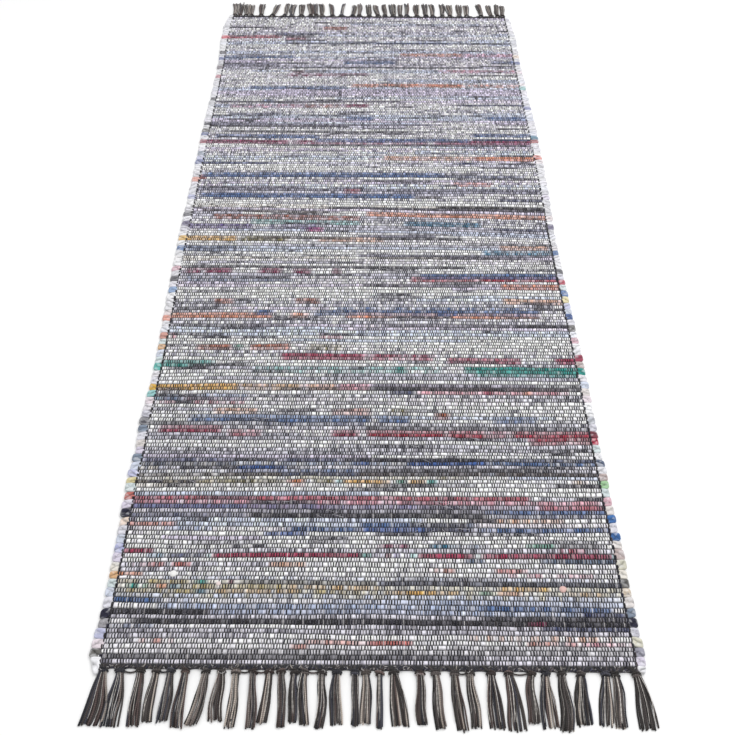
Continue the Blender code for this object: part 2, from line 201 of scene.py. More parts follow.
# the weaver's chart: rows counted from the near end, left and right in cm from the middle, and
# how much of that stretch shows the stripe's rag
Stripe = namedtuple("Stripe", "row left right rag show")
stripes = [Stripe(*columns) for columns in (
    (1, -39, 17, "charcoal", 0.8), (2, -28, 39, "charcoal", 0.35), (3, 12, 39, "charcoal", 0.28),
    (3, -11, -8, "salmon", 0.6), (4, -33, -27, "salmon", 0.35), (4, -9, 0, "salmon", 0.7),
    (4, 0, 7, "coral", 0.95), (4, 22, 29, "salmon", 0.35), (4, 29, 31, "coral", 0.9),
    (4, 31, 39, "pink", 0.45), (5, 15, 36, "peach", 0.25), (7, -39, -31, "greyBlue", 0.5),
    (7, 26, 40, "navy", 0.8), (8, -35, 40, "black", 0.92), (8, 24, 27, "burgundy", 0.6),
    (9, 17, 40, "black", 0.8), (10, -40, -23, "black", 0.92), (10, -23, 32, "periwinkle", 0.65),
    (10, 32, 40, "navy", 0.85), (11, -31, 21, "periwinkle", 0.75), (11, 17, 37, "denim", 0.85),
    (12, -40, -31, "denim", 0.95), (12, -31, -26, "periwinkle", 0.5), (12, -8, 21, "periwinkle", 0.35),
    (13, -39, 39, "sand", 0.3), (14, -39, 39, "sand", 0.75), (15, -39, 39, "sand", 0.8),
    (16, -39, 2, "sand", 0.7), (14, -37, -25, "straw", 0.55), (14, -26, -24, "tealBlue", 0.7),
    (14, -23, -10, "tan", 0.45), (14, -10, 3, "straw", 0.35), (14, 3, 14, "mustard", 0.6),
    (14, 17, 19, "green", 0.7), (14, 20, 24, "peach", 0.7), (14, 30, 36, "tan", 0.45),
    (15, -37, -33, "teal", 0.45), (15, -32, -30, "orange", 0.9), (15, -30, -28, "tealBlue", 0.6),
    (15, -28, -12, "straw", 0.5), (15, -12, 2, "tan", 0.3), (15, 20, 28, "mustard", 0.45),
    (16, -39, -27, "straw", 0.6), (16, -26, -24, "teal", 0.95), (16, -21, -20, "burgundy", 0.8),
    (16, -19, 2, "charcoal", 0.5), (16, 2, 40, "charcoal", 0.85), (17, -39, 39, "white", 0.6),
    (17, 4, 20, "charcoal", 0.45), (18, -41, -34, "orange", 0.7), (18, 21, 35, "pink", 0.3),
    (19, 9, 14, "rust", 0.4), (19, 20, 25, "coral", 0.75), (20, -36, -31, "coral", 0.45),
    (20, -30, -27, "coral", 0.9), (20, -15, -9, "peach", 0.8), (21, 15, 19, "slate", 0.4),
    (21, 27, 39, "slate", 0.8), (22, -34, -31, "tealBlue", 0.6), (22, -31, -25, "navy", 0.7),
    (22, -25, -24, "teal", 0.8), (22, -24, 0, "crimson", 0.97), (22, -1, 1, "teal", 0.9),
    (22, 1, 3, "purple", 0.5), (22, 3, 4, "crimson", 0.9), (22, 4, 7, "purple", 0.4),
    (22, 7, 8, "teal", 0.9), (22, 8, 17, "crimson", 0.95), (22, 17, 18, "green", 0.6),
    (22, 18, 38, "crimson", 0.92), (22, 38, 39, "teal", 0.8), (23, -39, -33, "crimson", 0.85),
    (23, 30, 37, "red", 0.35), (24, 2, 7, "burgundy", 0.65), (24, 10, 14, "tealBlue", 0.65),
    (24, 14, 19, "slate", 0.5), (24, 25, 30, "green", 0.8), (24, 30, 37, "charcoal", 0.7),
    (27, -16, -9, "royal", 0.85), (28, -33, -24, "periwinkle", 0.55), (28, -13, -1, "denim", 0.8),
    (28, -1, 17, "royal", 0.88), (28, 17, 40, "denim", 0.75), (29, -39, -30, "salmon", 0.75),
    (29, -1, 8, "denim", 0.8), (29, 8, 18, "periwinkle", 0.6), (30, 17, 32, "peach", 0.65),
    (31, -40, -19, "navy", 0.65), (31, -19, 20, "black", 0.9), (31, 20, 39, "navy", 0.6),
    (32, -19, 19, "charcoal", 0.5), (32, 19, 40, "denim", 0.8), (33, -40, -19, "denim", 0.9),
    (33, -19, 19, "denim", 0.5), (33, 28, 39, "rose", 0.75), (34, -40, 38, "pink", 0.6),
    (35, -41, 17, "rose", 0.85), (35, 17, 27, "rose", 0.95), (40, -39, 11, "sand", 0.5),
    (39, -41, -25, "straw", 0.9), (39, -25, -13, "olive", 0.75), (39, -13, -10, "orange", 0.9),
    (39, -9, -5, "olive", 0.75), (39, -5, -4, "teal", 0.8), (39, -4, 4, "mustard", 0.85),
    (39, 5, 7, "green", 0.7), (39, 7, 10, "mustard", 0.8), (39, 10, 12, "teal", 0.9),
    (39, 34, 37, "tan", 0.5), (39, 38, 41, "green", 0.8), (40, 11, 17, "olive", 0.5),
    (41, -39, -25, "brownGrey", 0.6), (41, -25, 21, "brownGrey", 0.85), (41, 21, 41, "brownGrey", 0.9),
    (42, -14, -1, "denim", 0.6), (42, -1, 32, "charcoal", 0.75), (43, -39, -22, "greyBlue", 0.35),
    (43, -22, -13, "royal", 0.9), (44, -39, 39, "periwinkle", 0.65), (44, -38, -22, "charcoal", 0.55),
    (44, -2, 1, "royal", 0.85), (44, 7, 21, "royal", 0.9), (44, 21, 39, "denim", 0.6),
    (45, -38, -16, "navy", 0.6), (45, -14, -4, "navy", 0.7), (45, -4, 21, "black", 0.85),
    (45, 21, 39, "navy", 0.6), (51, 28, 41, "red", 0.75), (52, -24, -18, "rose", 0.6),
    (52, -6, -1, "crimson", 0.9), (52, 0, 14, "red", 0.92), (52, 14, 21, "red", 0.9),
    (52, 21, 25, "crimson", 0.7), (52, 25, 41, "red", 0.9), (53, -36, -25, "crimson", 0.9),
    (54, -1, 41, "charcoal", 0.6), (55, -39, -31, "charcoal", 0.7), (55, -31, 0, "navy", 0.5),
    (56, -31, 1, "denim", 0.85), (56, 2, 8, "denim", 0.8), (56, 22, 30, "denim", 0.7),
    (58, 12, 15, "rust", 0.8), (59, -27, -19, "peach", 0.7), (59, -6, 1, "salmon", 0.7),
    (59, 4, 8, "olive", 0.5), (62, -37, -21, "rose", 0.35), (63, -40, -32, "tealBlue", 0.7),
    (63, -32, -21, "periwinkle", 0.5), (64, 4, 9, "navy", 0.8), (64, 9, 37, "pink", 0.65),
    (64, 21, 23, "crimson", 0.8), (64, 28, 30, "orange", 0.8), (65, -40, -23, "mustard", 0.5),
    (65, -9, 39, "charcoal", 0.85), (66, -41, -23, "mustard", 0.8), (66, -23, -11, "tan", 0.6),
    (66, -11, -5, "peach", 0.7), (66, -5, 1, "pink", 0.7), (66, 1, 39, "charcoal", 0.45),
    (70, 20, 41, "teal", 0.6), (71, -21, 14, "paleTeal", 0.45), (71, 5, 7, "teal", 0.8),
    (71, 18, 41, "teal", 0.92), (72, -41, -28, "teal", 0.85), (72, -28, -22, "black", 0.8),
    (73, 8, 12, "charcoal", 0.6), (74, 15, 29, "crimson", 0.8), (74, 35, 41, "crimson", 0.85),
    (75, -16, 0, "crimson", 0.92), (75, 0, 13, "crimson", 0.6), (77, -11, -4, "olive", 0.5),
    (78, -32, -25, "rust", 0.85), (78, -25, -23, "green", 0.6), (78, -22, -14, "rust", 0.75),
    (81, -9, -4, "red", 0.4), (82, -38, -36, "red", 0.8), (83, 22, 26, "charcoal", 0.7),
    (85, -38, -15, "charcoal", 0.6), (85, 3, 28, "charcoal", 0.65), (85, 28, 41, "charcoal", 0.95),
    (88, -40, -18, "terracotta", 0.8), (88, -15, -11, "terracotta", 0.6),
    (88, -4, 34, "terracotta", 0.65), (89, 14, 18, "purple", 0.5), (90, -22, -18, "denim", 0.7),
    (90, -10, -1, "denim", 0.7), (90, -1, 34, "denim", 0.55), (91, -6, 34, "denim", 0.35),
    (91, -38, -28, "charcoal", 0.6), (94, -30, -26, "rust", 0.7), (94, -14, -9, "rust", 0.7),
    (94, 27, 40, "peach", 0.7), (99, -1, 23, "charcoal", 0.6), (99, 27, 39, "terracotta", 0.65),
    (100, 13, 24, "charcoal", 0.6), (101, -38, -15, "greyBlue", 0.5), (101, 9, 23, "rose", 0.7),
    (101, 23, 31, "red", 0.92), (101, 31, 41, "rose", 0.75), (103, 11, 39, "denim", 0.75),
    (104, -38, -33, "burgundy", 0.5), (104, -33, -27, "burgundy", 0.9),
    (104, -22, -17, "burgundy", 0.8), (104, -15, -11, "burgundy", 0.8), (104, -7, -5, "burgundy", 0.8),
    (105, 27, 40, "charcoal", 0.6), (106, -38, 21, "charcoal", 0.75), (110, -24, -19, "charcoal", 0.55),
    (110, 2, 34, "charcoal", 0.65), (112, 24, 41, "tealBlue", 0.65), (114, -41, -27, "greyBlue", 0.65),
    (115, 28, 38, "peach", 0.7), (116, 21, 40, "charcoal", 0.5), (117, -41, -27, "mustard", 0.8),
    (117, -27, -16, "olive", 0.65), (117, -10, 4, "peach", 0.6), (118, -22, -3, "brownGrey", 0.65),
    (118, 2, 21, "charcoal", 0.75), (122, -13, -9, "magenta", 0.8), (123, -40, -24, "purple", 0.6),
    (123, -21, -10, "purple", 0.5), (123, 27, 41, "navy", 0.55), (124, -25, -1, "paleTeal", 0.6),
    (124, 8, 25, "tealBlue", 0.7), (127, -33, -1, "rust", 0.5), (128, 0, 41, "terracotta", 0.78),
    (129, -36, -8, "brownGrey", 0.65), (131, -9, 41, "charcoal", 0.75), (132, 15, 41, "black", 0.85),
    (135, 29, 39, "navy", 0.65), (136, -33, -27, "royal", 0.95), (136, -37, 11, "denim", 0.85),
    (136, 11, 17, "charcoal", 0.6), (139, -5, -1, "rose", 0.45), (142, 19, 29, "salmon", 0.45),
    (143, -1, 12, "charcoal", 0.55), (144, -40, -36, "coral", 0.85), (144, 26, 40, "charcoal", 0.65),
    (145, -38, 16, "navy", 0.75), (146, -38, 18, "denim", 0.65), (145, 16, 36, "navy", 0.6),
    (151, -40, -22, "navy", 0.65), (151, 21, 26, "navy", 0.7), (154, 4, 25, "peach", 0.6),
    (154, 25, 42, "terracotta", 0.85), (160, -24, 41, "charcoal", 0.65),
    (162, -40, -18, "burgundy", 0.88), (162, -18, 15, "burgundy", 0.45),
    (162, 16, 41, "burgundy", 0.85), (163, -12, 25, "denim", 0.6), (163, 25, 40, "navy", 0.8),
    (164, -36, -11, "denim", 0.75), (165, 25, 41, "denim", 0.65), (167, -35, 11, "charcoal", 0.65),
    (170, -39, -4, "charcoal", 0.65), (175, -5, 2, "denim", 0.65), (175, 29, 39, "denim", 0.65),
    (177, -34, -20, "navy", 0.6), (182, -34, -16, "pink", 0.4), (182, -16, -6, "rust", 0.5),
    (182, -6, 1, "burgundy", 0.65), (182, 23, 41, "navy", 0.7), (184, -39, 9, "charcoal", 0.6),
    (184, -26, -23, "denim", 0.8), (192, -30, -5, "denim", 0.6), (194, -4, 15, "terracotta", 0.6),
    (194, 15, 25, "terracotta", 0.9), (194, 25, 39, "terracotta", 0.3), (200, -21, 1, "burgundy", 0.5),
    (203, 19, 39, "pink", 0.45), (200, 24, 40, "charcoal", 0.55), (203, -19, -16, "pink", 0.7),
    (205, -20, 30, "charcoal", 0.6), (208, -6, 8, "denim", 0.65), (208, 33, 40, "denim", 0.55),
    (212, -39, -19, "denim", 0.6), (214, 9, 26, "terracotta", 0.55), (214, 26, 39, "pink", 0.45),
    (221, -22, 2, "charcoal", 0.6), (221, 2, 23, "navy", 0.8), (221, 23, 40, "charcoal", 0.6),
    (224, -22, -16, "rose", 0.45), (225, -39, -23, "rose", 0.75), (227, -24, -11, "navy", 0.5),
    (231, -12, -5, "rust", 0.75),
)]

# rags of the turns at the sides, where the chart's stripes don't give them; each turn goes by the
# nearer of its two rows, odd on the left and even on the right
leftTurns = {
    1: "smoke", 3: "palePink", 5: "lavender", 7: "ash", 9: "ink", 11: "printed", 13: "paleBlue",
    15: "seaMist", 17: "apricot", 19: "cream", 21: "lilac", 23: "wisteria", 25: "paleBlue",
    27: "printed", 29: "shell", 31: "ink", 33: "lilac", 35: "coral", 37: "seaMist", 39: "butter",
    41: "lavender", 43: "paleBlue", 45: "steel", 47: "lilac", 49: "linen", 51: "printed", 53: "steel",
    55: "iron", 57: "paleGrey", 59: "offWhite", 61: "palePink", 63: "aqua", 65: "sunny", 67: "printed",
    69: "offWhite", 71: "jade", 73: "seaMist", 75: "paleBlue", 77: "apricot", 79: "seaMist",
    81: "salmon", 87: "melon", 97: "skyBlue", 101: "iron", 105: "blush", 113: "cornflower",
    117: "sunny", 123: "plum", 127: "iron", 135: "wisteria", 143: "melon", 151: "hyacinth",
    153: "lavender", 155: "steel", 161: "crimson", 165: "hyacinth", 167: "smoke", 171: "ink",
    185: "iron", 199: "pink", 205: "pewter", 211: "hyacinth", 215: "iron", 225: "strawberry",
}
rightTurns = {
    0: "lilac", 2: "midGrey", 4: "sand", 6: "paleGrey", 8: "ink", 10: "steel", 12: "linen", 14: "oat",
    16: "smoke", 18: "cream", 20: "sand", 22: "taupe", 24: "linen", 26: "cornflower", 28: "printed",
    30: "cornflower", 32: "linen", 34: "blush", 36: "seaMist", 38: "mint", 40: "taupe", 44: "greyBlue",
    48: "seaMist", 50: "raspberry", 52: "mulberry", 54: "paleGrey", 56: "dove", 62: "palePink",
    64: "linen", 66: "paleBlue", 68: "offWhite", 70: "teal", 72: "taupe", 74: "crimson", 80: "blush",
    84: "smoke", 86: "printed", 88: "royal", 90: "paleBlue", 92: "lavender", 94: "butter",
    96: "cornflower", 98: "seaMist", 100: "raspberry", 104: "iron", 112: "cornflower", 124: "plum",
    126: "white", 136: "lilac", 154: "coralRed", 162: "brick", 164: "tealBlue", 180: "iris",
    192: "aqua", 208: "hyacinth", 212: "shell",
}

# how far the sides stray from straight, in mm, outwards positive, as on the solid
Side = namedtuple("Side", "along left right")
sides = [Side(*columns) for columns in (
    (-1000, -2.0, -5.0), (-972, 2.5, -2.0), (-930, -1.0, -3.5), (-860, -2.8, -2.5), (-815, -1.0, -0.8),
    (-718, 0.3, -3.6), (-645, 3.4, -1.4), (-590, -2.4, -4.0), (-535, 4.0, -2.4), (-490, -1.0, -0.8),
    (-370, -3.6, 0.0), (-150, 2.8, -4.0), (5, 3.8, -4.0), (120, 2.3, 2.0), (385, 3.0, 5.8),
    (600, -1.0, 2.8), (730, -1.2, 0.0), (860, 5.8, 4.0), (940, 5.0, -0.4), (1000, -1.5, -4.0),
)]

# how far the rag rows lie from even spacing, in mm, away from the near end
Drift = namedtuple("Drift", "row left middle right")
drifts = [Drift(*columns) for columns in (
    (0, -3.6, -2.6, -1.5), (1, -3.2, -2.6, -2.1), (2, -3.9, -3.1, -2.4), (3, -3.3, -2.8, -2.2),
    (4, -2.6, -3.2, -4.0), (5, -2.0, -2.7, -3.4), (6, -2.8, -2.4, -3.0), (7, -4.0, -2.7, -2.8),
    (8, -3.5, -3.2, -3.8), (10, -6.4, -4.9, -4.9), (11, -2.6, -3.1, -5.2), (13, -2.0, -3.1, -4.7),
    (16, -3.0, -4.0, -4.4), (18, -7.6, -6.6, -5.6), (20, -7.4, -6.4, -4.8), (24, -7.8, -5.2, -2.6),
    (28, -6.2, -8.4, -6.0), (33, -4.5, -3.8, -2.4), (38, -4.8, -0.5, 1.0), (42, -7.6, -2.8, -0.2),
    (47, -6.9, -8.0, -6.8), (53, -8.6, -7.0, -8.0), (58, -6.8, -7.0, -7.8), (64, -6.4, -4.5, -2.7),
    (70, -6.1, -0.6, -0.6), (76, 1.2, 1.4, 0.6), (83, -2.5, -1.8, -2.0), (90, -5.6, -0.8, -1.5),
    (97, -5.8, -1.9, -0.9), (104, -3.0, -1.5, -0.2), (112, -6.0, -7.0, -6.0), (121, -2.4, -5.8, -17.0),
    (129, 0.8, -5.6, -17.2), (137, -5.8, -6.8, -5.8), (146, -3.0, -1.0, -2.6), (156, 0.4, 1.0, -0.3),
    (166, -1.2, -2.6, -1.2), (188, -10.2, -6.5, -5.4), (200, -15.2, -10.5, -10.0),
    (213, -21.5, -16.5, -14.0), (225, -15.5, -12.0, -11.5), (237, 0.0, 0.0, 0.0),
)]

# shared by every woven piece
weave = {
    "rows": 238,
    "ends": 364,  # warp yarns side by side
    "halfWidth": 0.3845,  # middle of the rug to the outermost warp yarn
    "turnReach": 0.400,  # middle of the rug to the straight line of the rag turns
    "pitchSpread": 0.09,  # uneven rag thickness, as a share of a row
    "slant": 0.0085,  # how far a row drops for each metre to the right
    "wave": 1.3 * mm,  # rows wander this much
    "thinRows": 0.8 * mm,  # dark rags are thin, and their neighbours close in on them
    "thinFar": 1.3 * mm,  # more so in the middle of the rug
    "thinFarRows": (20, 100, 140, 190),
    "thinFarShares": (0, 1, 1, 0),
    "jitter": 0.5 * mm,  # from one warp yarn to the next
    "edgeFollow": 0.45,  # share of the sides' straying that the outer warp yarns follow
    "endWobble": 0.36 * mm,
    "naturalEvery": 7,  # one warp yarn in seven is undyed
    "naturalHidden": 0.45,  # share of the places where an undyed yarn doesn't show
    "dyedHidden": (0.04, 0.08),  # the same for a dyed one, and how much is added by the far end
}
rows, ends = weave["rows"], weave["ends"]
fieldLow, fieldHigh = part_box("woven_field")
clothLength = 2 * (fieldHigh.y - weave["slant"] * fieldHigh.x)


def linearColour(code):
    channels = np.array([int(code[k:k + 2], 16) for k in (0, 2, 4)]) / 255
    return np.where(channels <= 0.04045, channels / 12.92, ((channels + 0.055) / 1.055) ** 2.4)


def softNoise(shape, steps, rng):
    # random values on a coarse grid, smoothly filled in between
    coarse = rng.uniform(-1, 1, [int(size / step) + 2 for size, step in zip(shape, steps)])
    down, across = [np.arange(size) / step for size, step in zip(shape, steps)]
    i, j = down.astype(int), across.astype(int)
    s, t = down - i, across - j
    s, t = (s * s * (3 - 2 * s))[:, None], t * t * (3 - 2 * t)
    low = coarse[i][:, j] * (1 - t) + coarse[i][:, j + 1] * t
    high = coarse[i + 1][:, j] * (1 - t) + coarse[i + 1][:, j + 1] * t
    return low * (1 - s) + high * s


def strayAt(along, side):
    stray = [row.left if side < 0 else row.right for row in sides]
    return np.interp(along / mm, [row.along for row in sides], stray) * mm


# the rag is one long strip that goes back and forth, so its colour carries on round each turn
ragStrip = {
    "shortest": 0.16,  # metres of one rag before the next is joined on
    "longest": 1.5,
    "tint": 0.05,  # difference between two rags of one colour
    "patch": 0.07,  # soft change along a rag
    "speck": 0.09,  # difference from one warp gap to the next, twice that at the far end
    "clumps": 0.38,  # darker and lighter places along a row, at the far end
    "printTo": (0.15, 0.65),  # how dark the print on a rag is
    "ink": "56545F",
    "nearTint": (1.02, 1.0, 1.025),  # the nearest ones too, a little
    "nearTintTo": 60,  # by this row it is gone
    "farTint": (0.985, 0.970, 1.055),  # the far rags are a little more lilac
    "paleRows": (6, 16, 30, 45, 60, 77, 98, 121, 145, 172, 195, 218),  # some bands have paler rags
    "paler": (0.94, 1.0, 1.12, 0.99, 1.09, 1.17, 1.14, 1.05, 1.30, 1.13, 1.0, 1.09),
    "dulled": (0.0, 0.10),  # how greyed the stripes' rags are, near and far
    "dulledRows": (15, 90),
    "brokenEdge": 0.30,  # how unevenly a stripe's rag shows
    "fuller": (1.0, 1.5),  # far stripes show more of their rag than the chart says
    "fullerRows": (30, 130),
    "stripeSpeck": 0.22,
    "softFrom": (25, 50, 75),  # from these rows on a stripe also tints the row beside it
    "softNext": (0.0, 0.65, 0.85),
    "chartShift": (-0.4, -0.8),  # cm from the chart to the rug's own middle, near and far
    "chartEdge": 38,  # cm; a stripe that reaches the side isn't shifted there
    "fadeOver": 1.6 * cm,  # a stripe's ends fade out over this length
    "darkRuns": 280,  # short thin dark lengths among the pale rags, past the first rows
    "darkRunFrom": 24,
    "darkRunHalf": (1.0, 6.0),  # cm, half their length
    "darkRunShow": (0.4, 0.95),
    "darkRunTone": "58575F",
}
thinRags = ("charcoal", "black", "navy", "brownGrey")


def ragColours(columnX):
    rng = np.random.default_rng(21)
    palette = np.array([linearColour(ground.rag) for ground in groundRags.values()])
    printed = np.array([ground.print for ground in groundRags.values()])
    shares = np.array([(ground.near, ground.far) for ground in groundRags.values()]).cumsum(0)
    run = 2 * weave["turnReach"]
    lengths = rng.uniform(ragStrip["shortest"], ragStrip["longest"], int(rows * run * 3))
    joins = np.cumsum(lengths)
    wayAlong = np.clip(joins / (rows * run), 0, 1)
    chances = shares[:, :1] * (1 - wayAlong) + shares[:, 1:] * wayAlong
    pick = (rng.random(len(joins)) * chances[-1] > chances).sum(0)
    tint = 1 + ragStrip["tint"] * rng.uniform(-1, 1, len(joins))
    rowNumber = np.arange(rows)[:, None]
    fromTurn = np.where(rowNumber % 2 == 0, weave["turnReach"] + columnX, weave["turnReach"] - columnX)
    rag = np.searchsorted(joins, rowNumber * run + fromTurn)
    colour = palette[pick[rag]] * tint[rag][..., None]
    spots = softNoise((rows, ends), (1, 1.6), rng) > 1 - 2 * printed[pick[rag]]
    kept = np.where(spots, rng.uniform(*ragStrip["printTo"], (rows, ends)), 1)[..., None]
    colour *= kept + (1 - kept) * linearColour(ragStrip["ink"])
    colour *= 1 + ragStrip["patch"] * softNoise((rows, ends), (1, 14), rng)[..., None]
    uneven = softNoise((rows, ends), (1, 3), rng) + 0.6 * rng.uniform(-1, 1, (rows, ends))
    dark = np.zeros((rows, ends))
    for stripe in stripes:
        thin = stripe.rag in thinRags
        striped = linearColour(stripeRags[stripe.rag])
        greyed = np.interp(stripe.row, ragStrip["dulledRows"], ragStrip["dulled"])
        striped = striped * (1 - greyed) + greyed * 0.8 * striped.mean()
        shift = np.interp(stripe.row, (0, rows), ragStrip["chartShift"])
        inside = [end + shift * (abs(end) < ragStrip["chartEdge"]) for end in (stripe.left, stripe.right)]
        left, right = inside
        fromEnd = np.minimum(columnX - left * cm, right * cm - columnX)
        fade = np.where(fromEnd < 0, 0, np.clip(0.4 + fromEnd / ragStrip["fadeOver"], 0, 1))
        beside = stripe.row + (1 if stripe.row % 4 < 2 else -1)
        soft = 0 if thin else np.interp(stripe.row, ragStrip["softFrom"], ragStrip["softNext"])
        full = 1 - (1 - stripe.show) ** np.interp(stripe.row, ragStrip["fullerRows"], ragStrip["fuller"])
        broken = ragStrip["brokenEdge"] * (1.2 - full) * (1.2 if thin else 2)
        for row, share in ((stripe.row, 1.0), (beside, soft)):
            show = full + broken * uneven[row]
            show = np.clip(show, 0, 1) * fade * share
            shades = 1 + ragStrip["stripeSpeck"] * rng.normal(0, 1, (ends, 1)).clip(-1.8, 2.2)
            colour[row] += (striped * shades - colour[row]) * show[:, None]
        if thin:
            dark[stripe.row] = np.maximum(dark[stripe.row], show)
    for number in range(ragStrip["darkRuns"]):
        row = rng.integers(ragStrip["darkRunFrom"], rows - 2)
        middle, half = rng.uniform(-0.38, 0.38), rng.uniform(*ragStrip["darkRunHalf"]) * cm
        show = np.clip((half - np.abs(columnX - middle)) / cm, 0, 1) * rng.uniform(*ragStrip["darkRunShow"])
        show = np.clip(show * (1 + 0.4 * uneven[row]), 0, 1)
        colour[row] += (linearColour(ragStrip["darkRunTone"]) - colour[row]) * show[:, None]
        dark[row] = np.maximum(dark[row], show)
    colour *= 1 + (np.array(ragStrip["farTint"]) - 1) * (rowNumber / rows)[..., None]
    nearShare = np.clip(1 - rowNumber / ragStrip["nearTintTo"], 0, 1)[..., None]
    colour *= 1 + (np.array(ragStrip["nearTint"]) - 1) * nearShare
    colour *= np.interp(rowNumber, ragStrip["paleRows"], ragStrip["paler"])[..., None]
    speck = 1 + ragStrip["speck"] * (1 + rowNumber / rows) * rng.normal(0, 1, (rows, ends))
    speck = speck + ragStrip["clumps"] * rowNumber / rows * softNoise((rows, ends), (1, 2.2), rng)
    return np.clip(colour * np.clip(speck, 0.4, 1.15)[..., None], 0.004, 0.97), dark


def rowEdges(dark):
    # the line between two rows, at each warp yarn
    rng = np.random.default_rng(22)
    pitches = 1 + weave["pitchSpread"] * np.random.default_rng(11).uniform(-1, 1, rows)
    edges = np.concatenate([[0], np.cumsum(pitches)])
    edges = (edges / edges[-1] - 0.5) * clothLength
    taper = np.clip(np.minimum(np.arange(rows + 1), rows - np.arange(rows + 1)) / 3, 0, 1)[:, None]
    wander = softNoise((rows + 1, ends), (5, 60), rng) + 0.5 * softNoise((rows + 1, ends), (2, 22), rng)
    smooth = np.array([np.convolve(line, np.ones(15) / 15, "same") for line in dark])
    thin = np.vstack([np.zeros(ends), smooth, np.zeros(ends)])
    farShare = np.interp(np.arange(rows + 1), weave["thinFarRows"], weave["thinFarShares"])
    thinning = weave["thinRows"] + weave["thinFar"] * farShare
    pull = thinning[:, None] * (thin[1:] - thin[:-1])
    jitter = weave["jitter"] * softNoise((rows + 1, ends), (1, 1.3), rng)
    boundary = np.arange(rows + 1) - 0.5
    driftRows = [drift.row for drift in drifts]
    left, middle, right = [
        np.interp(boundary, driftRows, [getattr(drift, place) for drift in drifts])[:, None]
        for place in ("left", "middle", "right")
    ]
    across = columnX / weave["halfWidth"]
    drifted = (middle + (right - left) / 2 * across + ((left + right) / 2 - middle) * across ** 2) * mm
    return edges[:, None] + drifted + taper * (weave["wave"] * wander + pull + jitter)


columnX = np.linspace(-1, 1, ends) * weave["halfWidth"]
ragTone, darkRag = ragColours(columnX)
edgeY = rowEdges(darkRag)


def edgeColumns():
    # where each warp yarn runs, which near the sides follows their straying
    rng = np.random.default_rng(23)
    stray = np.where(columnX < 0, -strayAt(edgeY, -1), strayAt(edgeY, 1))
    wobble = weave["endWobble"] * softNoise((rows + 1, ends), (6, 1.7), rng)
    return columnX + weave["edgeFollow"] * stray * np.abs(columnX / weave["halfWidth"]) ** 3 + wobble


edgeX = edgeColumns()
edgeY = edgeY - weave["slant"] * edgeX


def between(edges, share):
    # a place inside each row, share of the way from its near edge to its far edge
    return edges[:-1] + (edges[1:] - edges[:-1]) * share


def linesAt(edges, shares):
    # lines across the rug at shares of each row's depth, and the far edge of the last row
    lines = np.stack([between(edges, share) for share in shares], 1).reshape(-1, ends)
    return np.vstack([lines, edges[-1:]])


# the warp passes over every second gap, and the gaps move on by one in the next row
rowNumber, endNumber = np.meshgrid(np.arange(rows), np.arange(ends), indexing="ij")
warpOver = ((rowNumber + endNumber) % 2 == 0) | (endNumber < 1) | (endNumber > ends - 2)
natural = endNumber % weave["naturalEvery"] == 3
luck = np.random.default_rng(24).random((rows, ends))
dyedHidden = weave["dyedHidden"][0] + weave["dyedHidden"][1] * rowNumber / rows
hiddenWarp = luck < np.where(natural, weave["naturalHidden"], dyedHidden)
floats = warpOver & ~hiddenWarp
print("weave charted:", rows, "rows of rag,", ends, "warp yarns,", len(stripes), "stripe lengths")


pieces = []


def addPiece(name, points, faceSets, material, colours, layout):
    # colours and layout have one entry for each corner of each face
    points = np.asarray(points, float).reshape(-1, 3)
    corners = np.concatenate([faces.ravel() for faces in faceSets])
    sizes = np.concatenate([np.full(len(faces), faces.shape[1]) for faces in faceSets])
    mesh = bpy.data.meshes.new(name)
    mesh.vertices.add(len(points))
    mesh.vertices.foreach_set("co", points.ravel())
    mesh.loops.add(len(corners))
    mesh.loops.foreach_set("vertex_index", corners)
    mesh.polygons.add(len(sizes))
    mesh.polygons.foreach_set("loop_start", np.cumsum(sizes) - sizes)
    mesh.update(calc_edges=True)
    mesh.polygons.foreach_set("use_smooth", np.ones(len(sizes), bool))
    tone = mesh.color_attributes.new(name="fibreColour", type="FLOAT_COLOR", domain="CORNER")
    tone.data.foreach_set("color", np.column_stack([colours, np.ones(len(colours))]).ravel())
    for mapName, places in layout.items():
        mesh.uv_layers.new(name=mapName).data.foreach_set("uv", np.asarray(places, float).ravel())
    mesh.materials.append(material)
    mesh.validate()
    piece = bpy.data.objects.new(name, mesh)
    bpy.context.scene.collection.objects.link(piece)
    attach(piece, "root")
    pieces.append(piece)
    return piece


def foldedLayout(points, faces, folds=3):
    # a long strip's map for baking, cut into lengths that lie side by side in the square
    margin = 0.006
    points = np.asarray(points).reshape(-1, 3)
    low, high = points.min(0), points.max(0)
    run = (high[1] - low[1]) / folds
    spots = points[faces]
    fold = ((spots[:, :, 1].mean(1) - low[1]) / run).astype(int).clip(0, folds - 1)[:, None]
    across = (fold + 0.02 + 0.96 * (spots[:, :, 0] - low[0]) / (high[0] - low[0])) / folds
    up = (spots[:, :, 1] - low[1] - fold * run + margin) / (run + 2 * margin)
    return np.stack([across, up], -1).reshape(-1, 2)


def cellLayout(unit, count, across):
    # the same small map for each repeat, each in a cell of its own
    place = np.arange(count)
    cells = np.array([across, -(-count // across)])
    corner = np.stack([place % across, place // across], -1)
    return ((corner[:, None] + 0.05 + 0.9 * unit[None]) / cells).reshape(-1, 2)


def gridFaces(linesCount, pointsCount, wrap=False):
    # quads of a grid of points, line by line, that face up when lines run away and points right
    line = np.arange(linesCount - 1)[:, None] * pointsCount
    here = np.arange(pointsCount if wrap else pointsCount - 1)[None]
    there = (here + 1) % pointsCount
    quads = np.stack([line + here, line + there, line + there + pointsCount, line + here + pointsCount], -1)
    return quads.reshape(-1, 4)


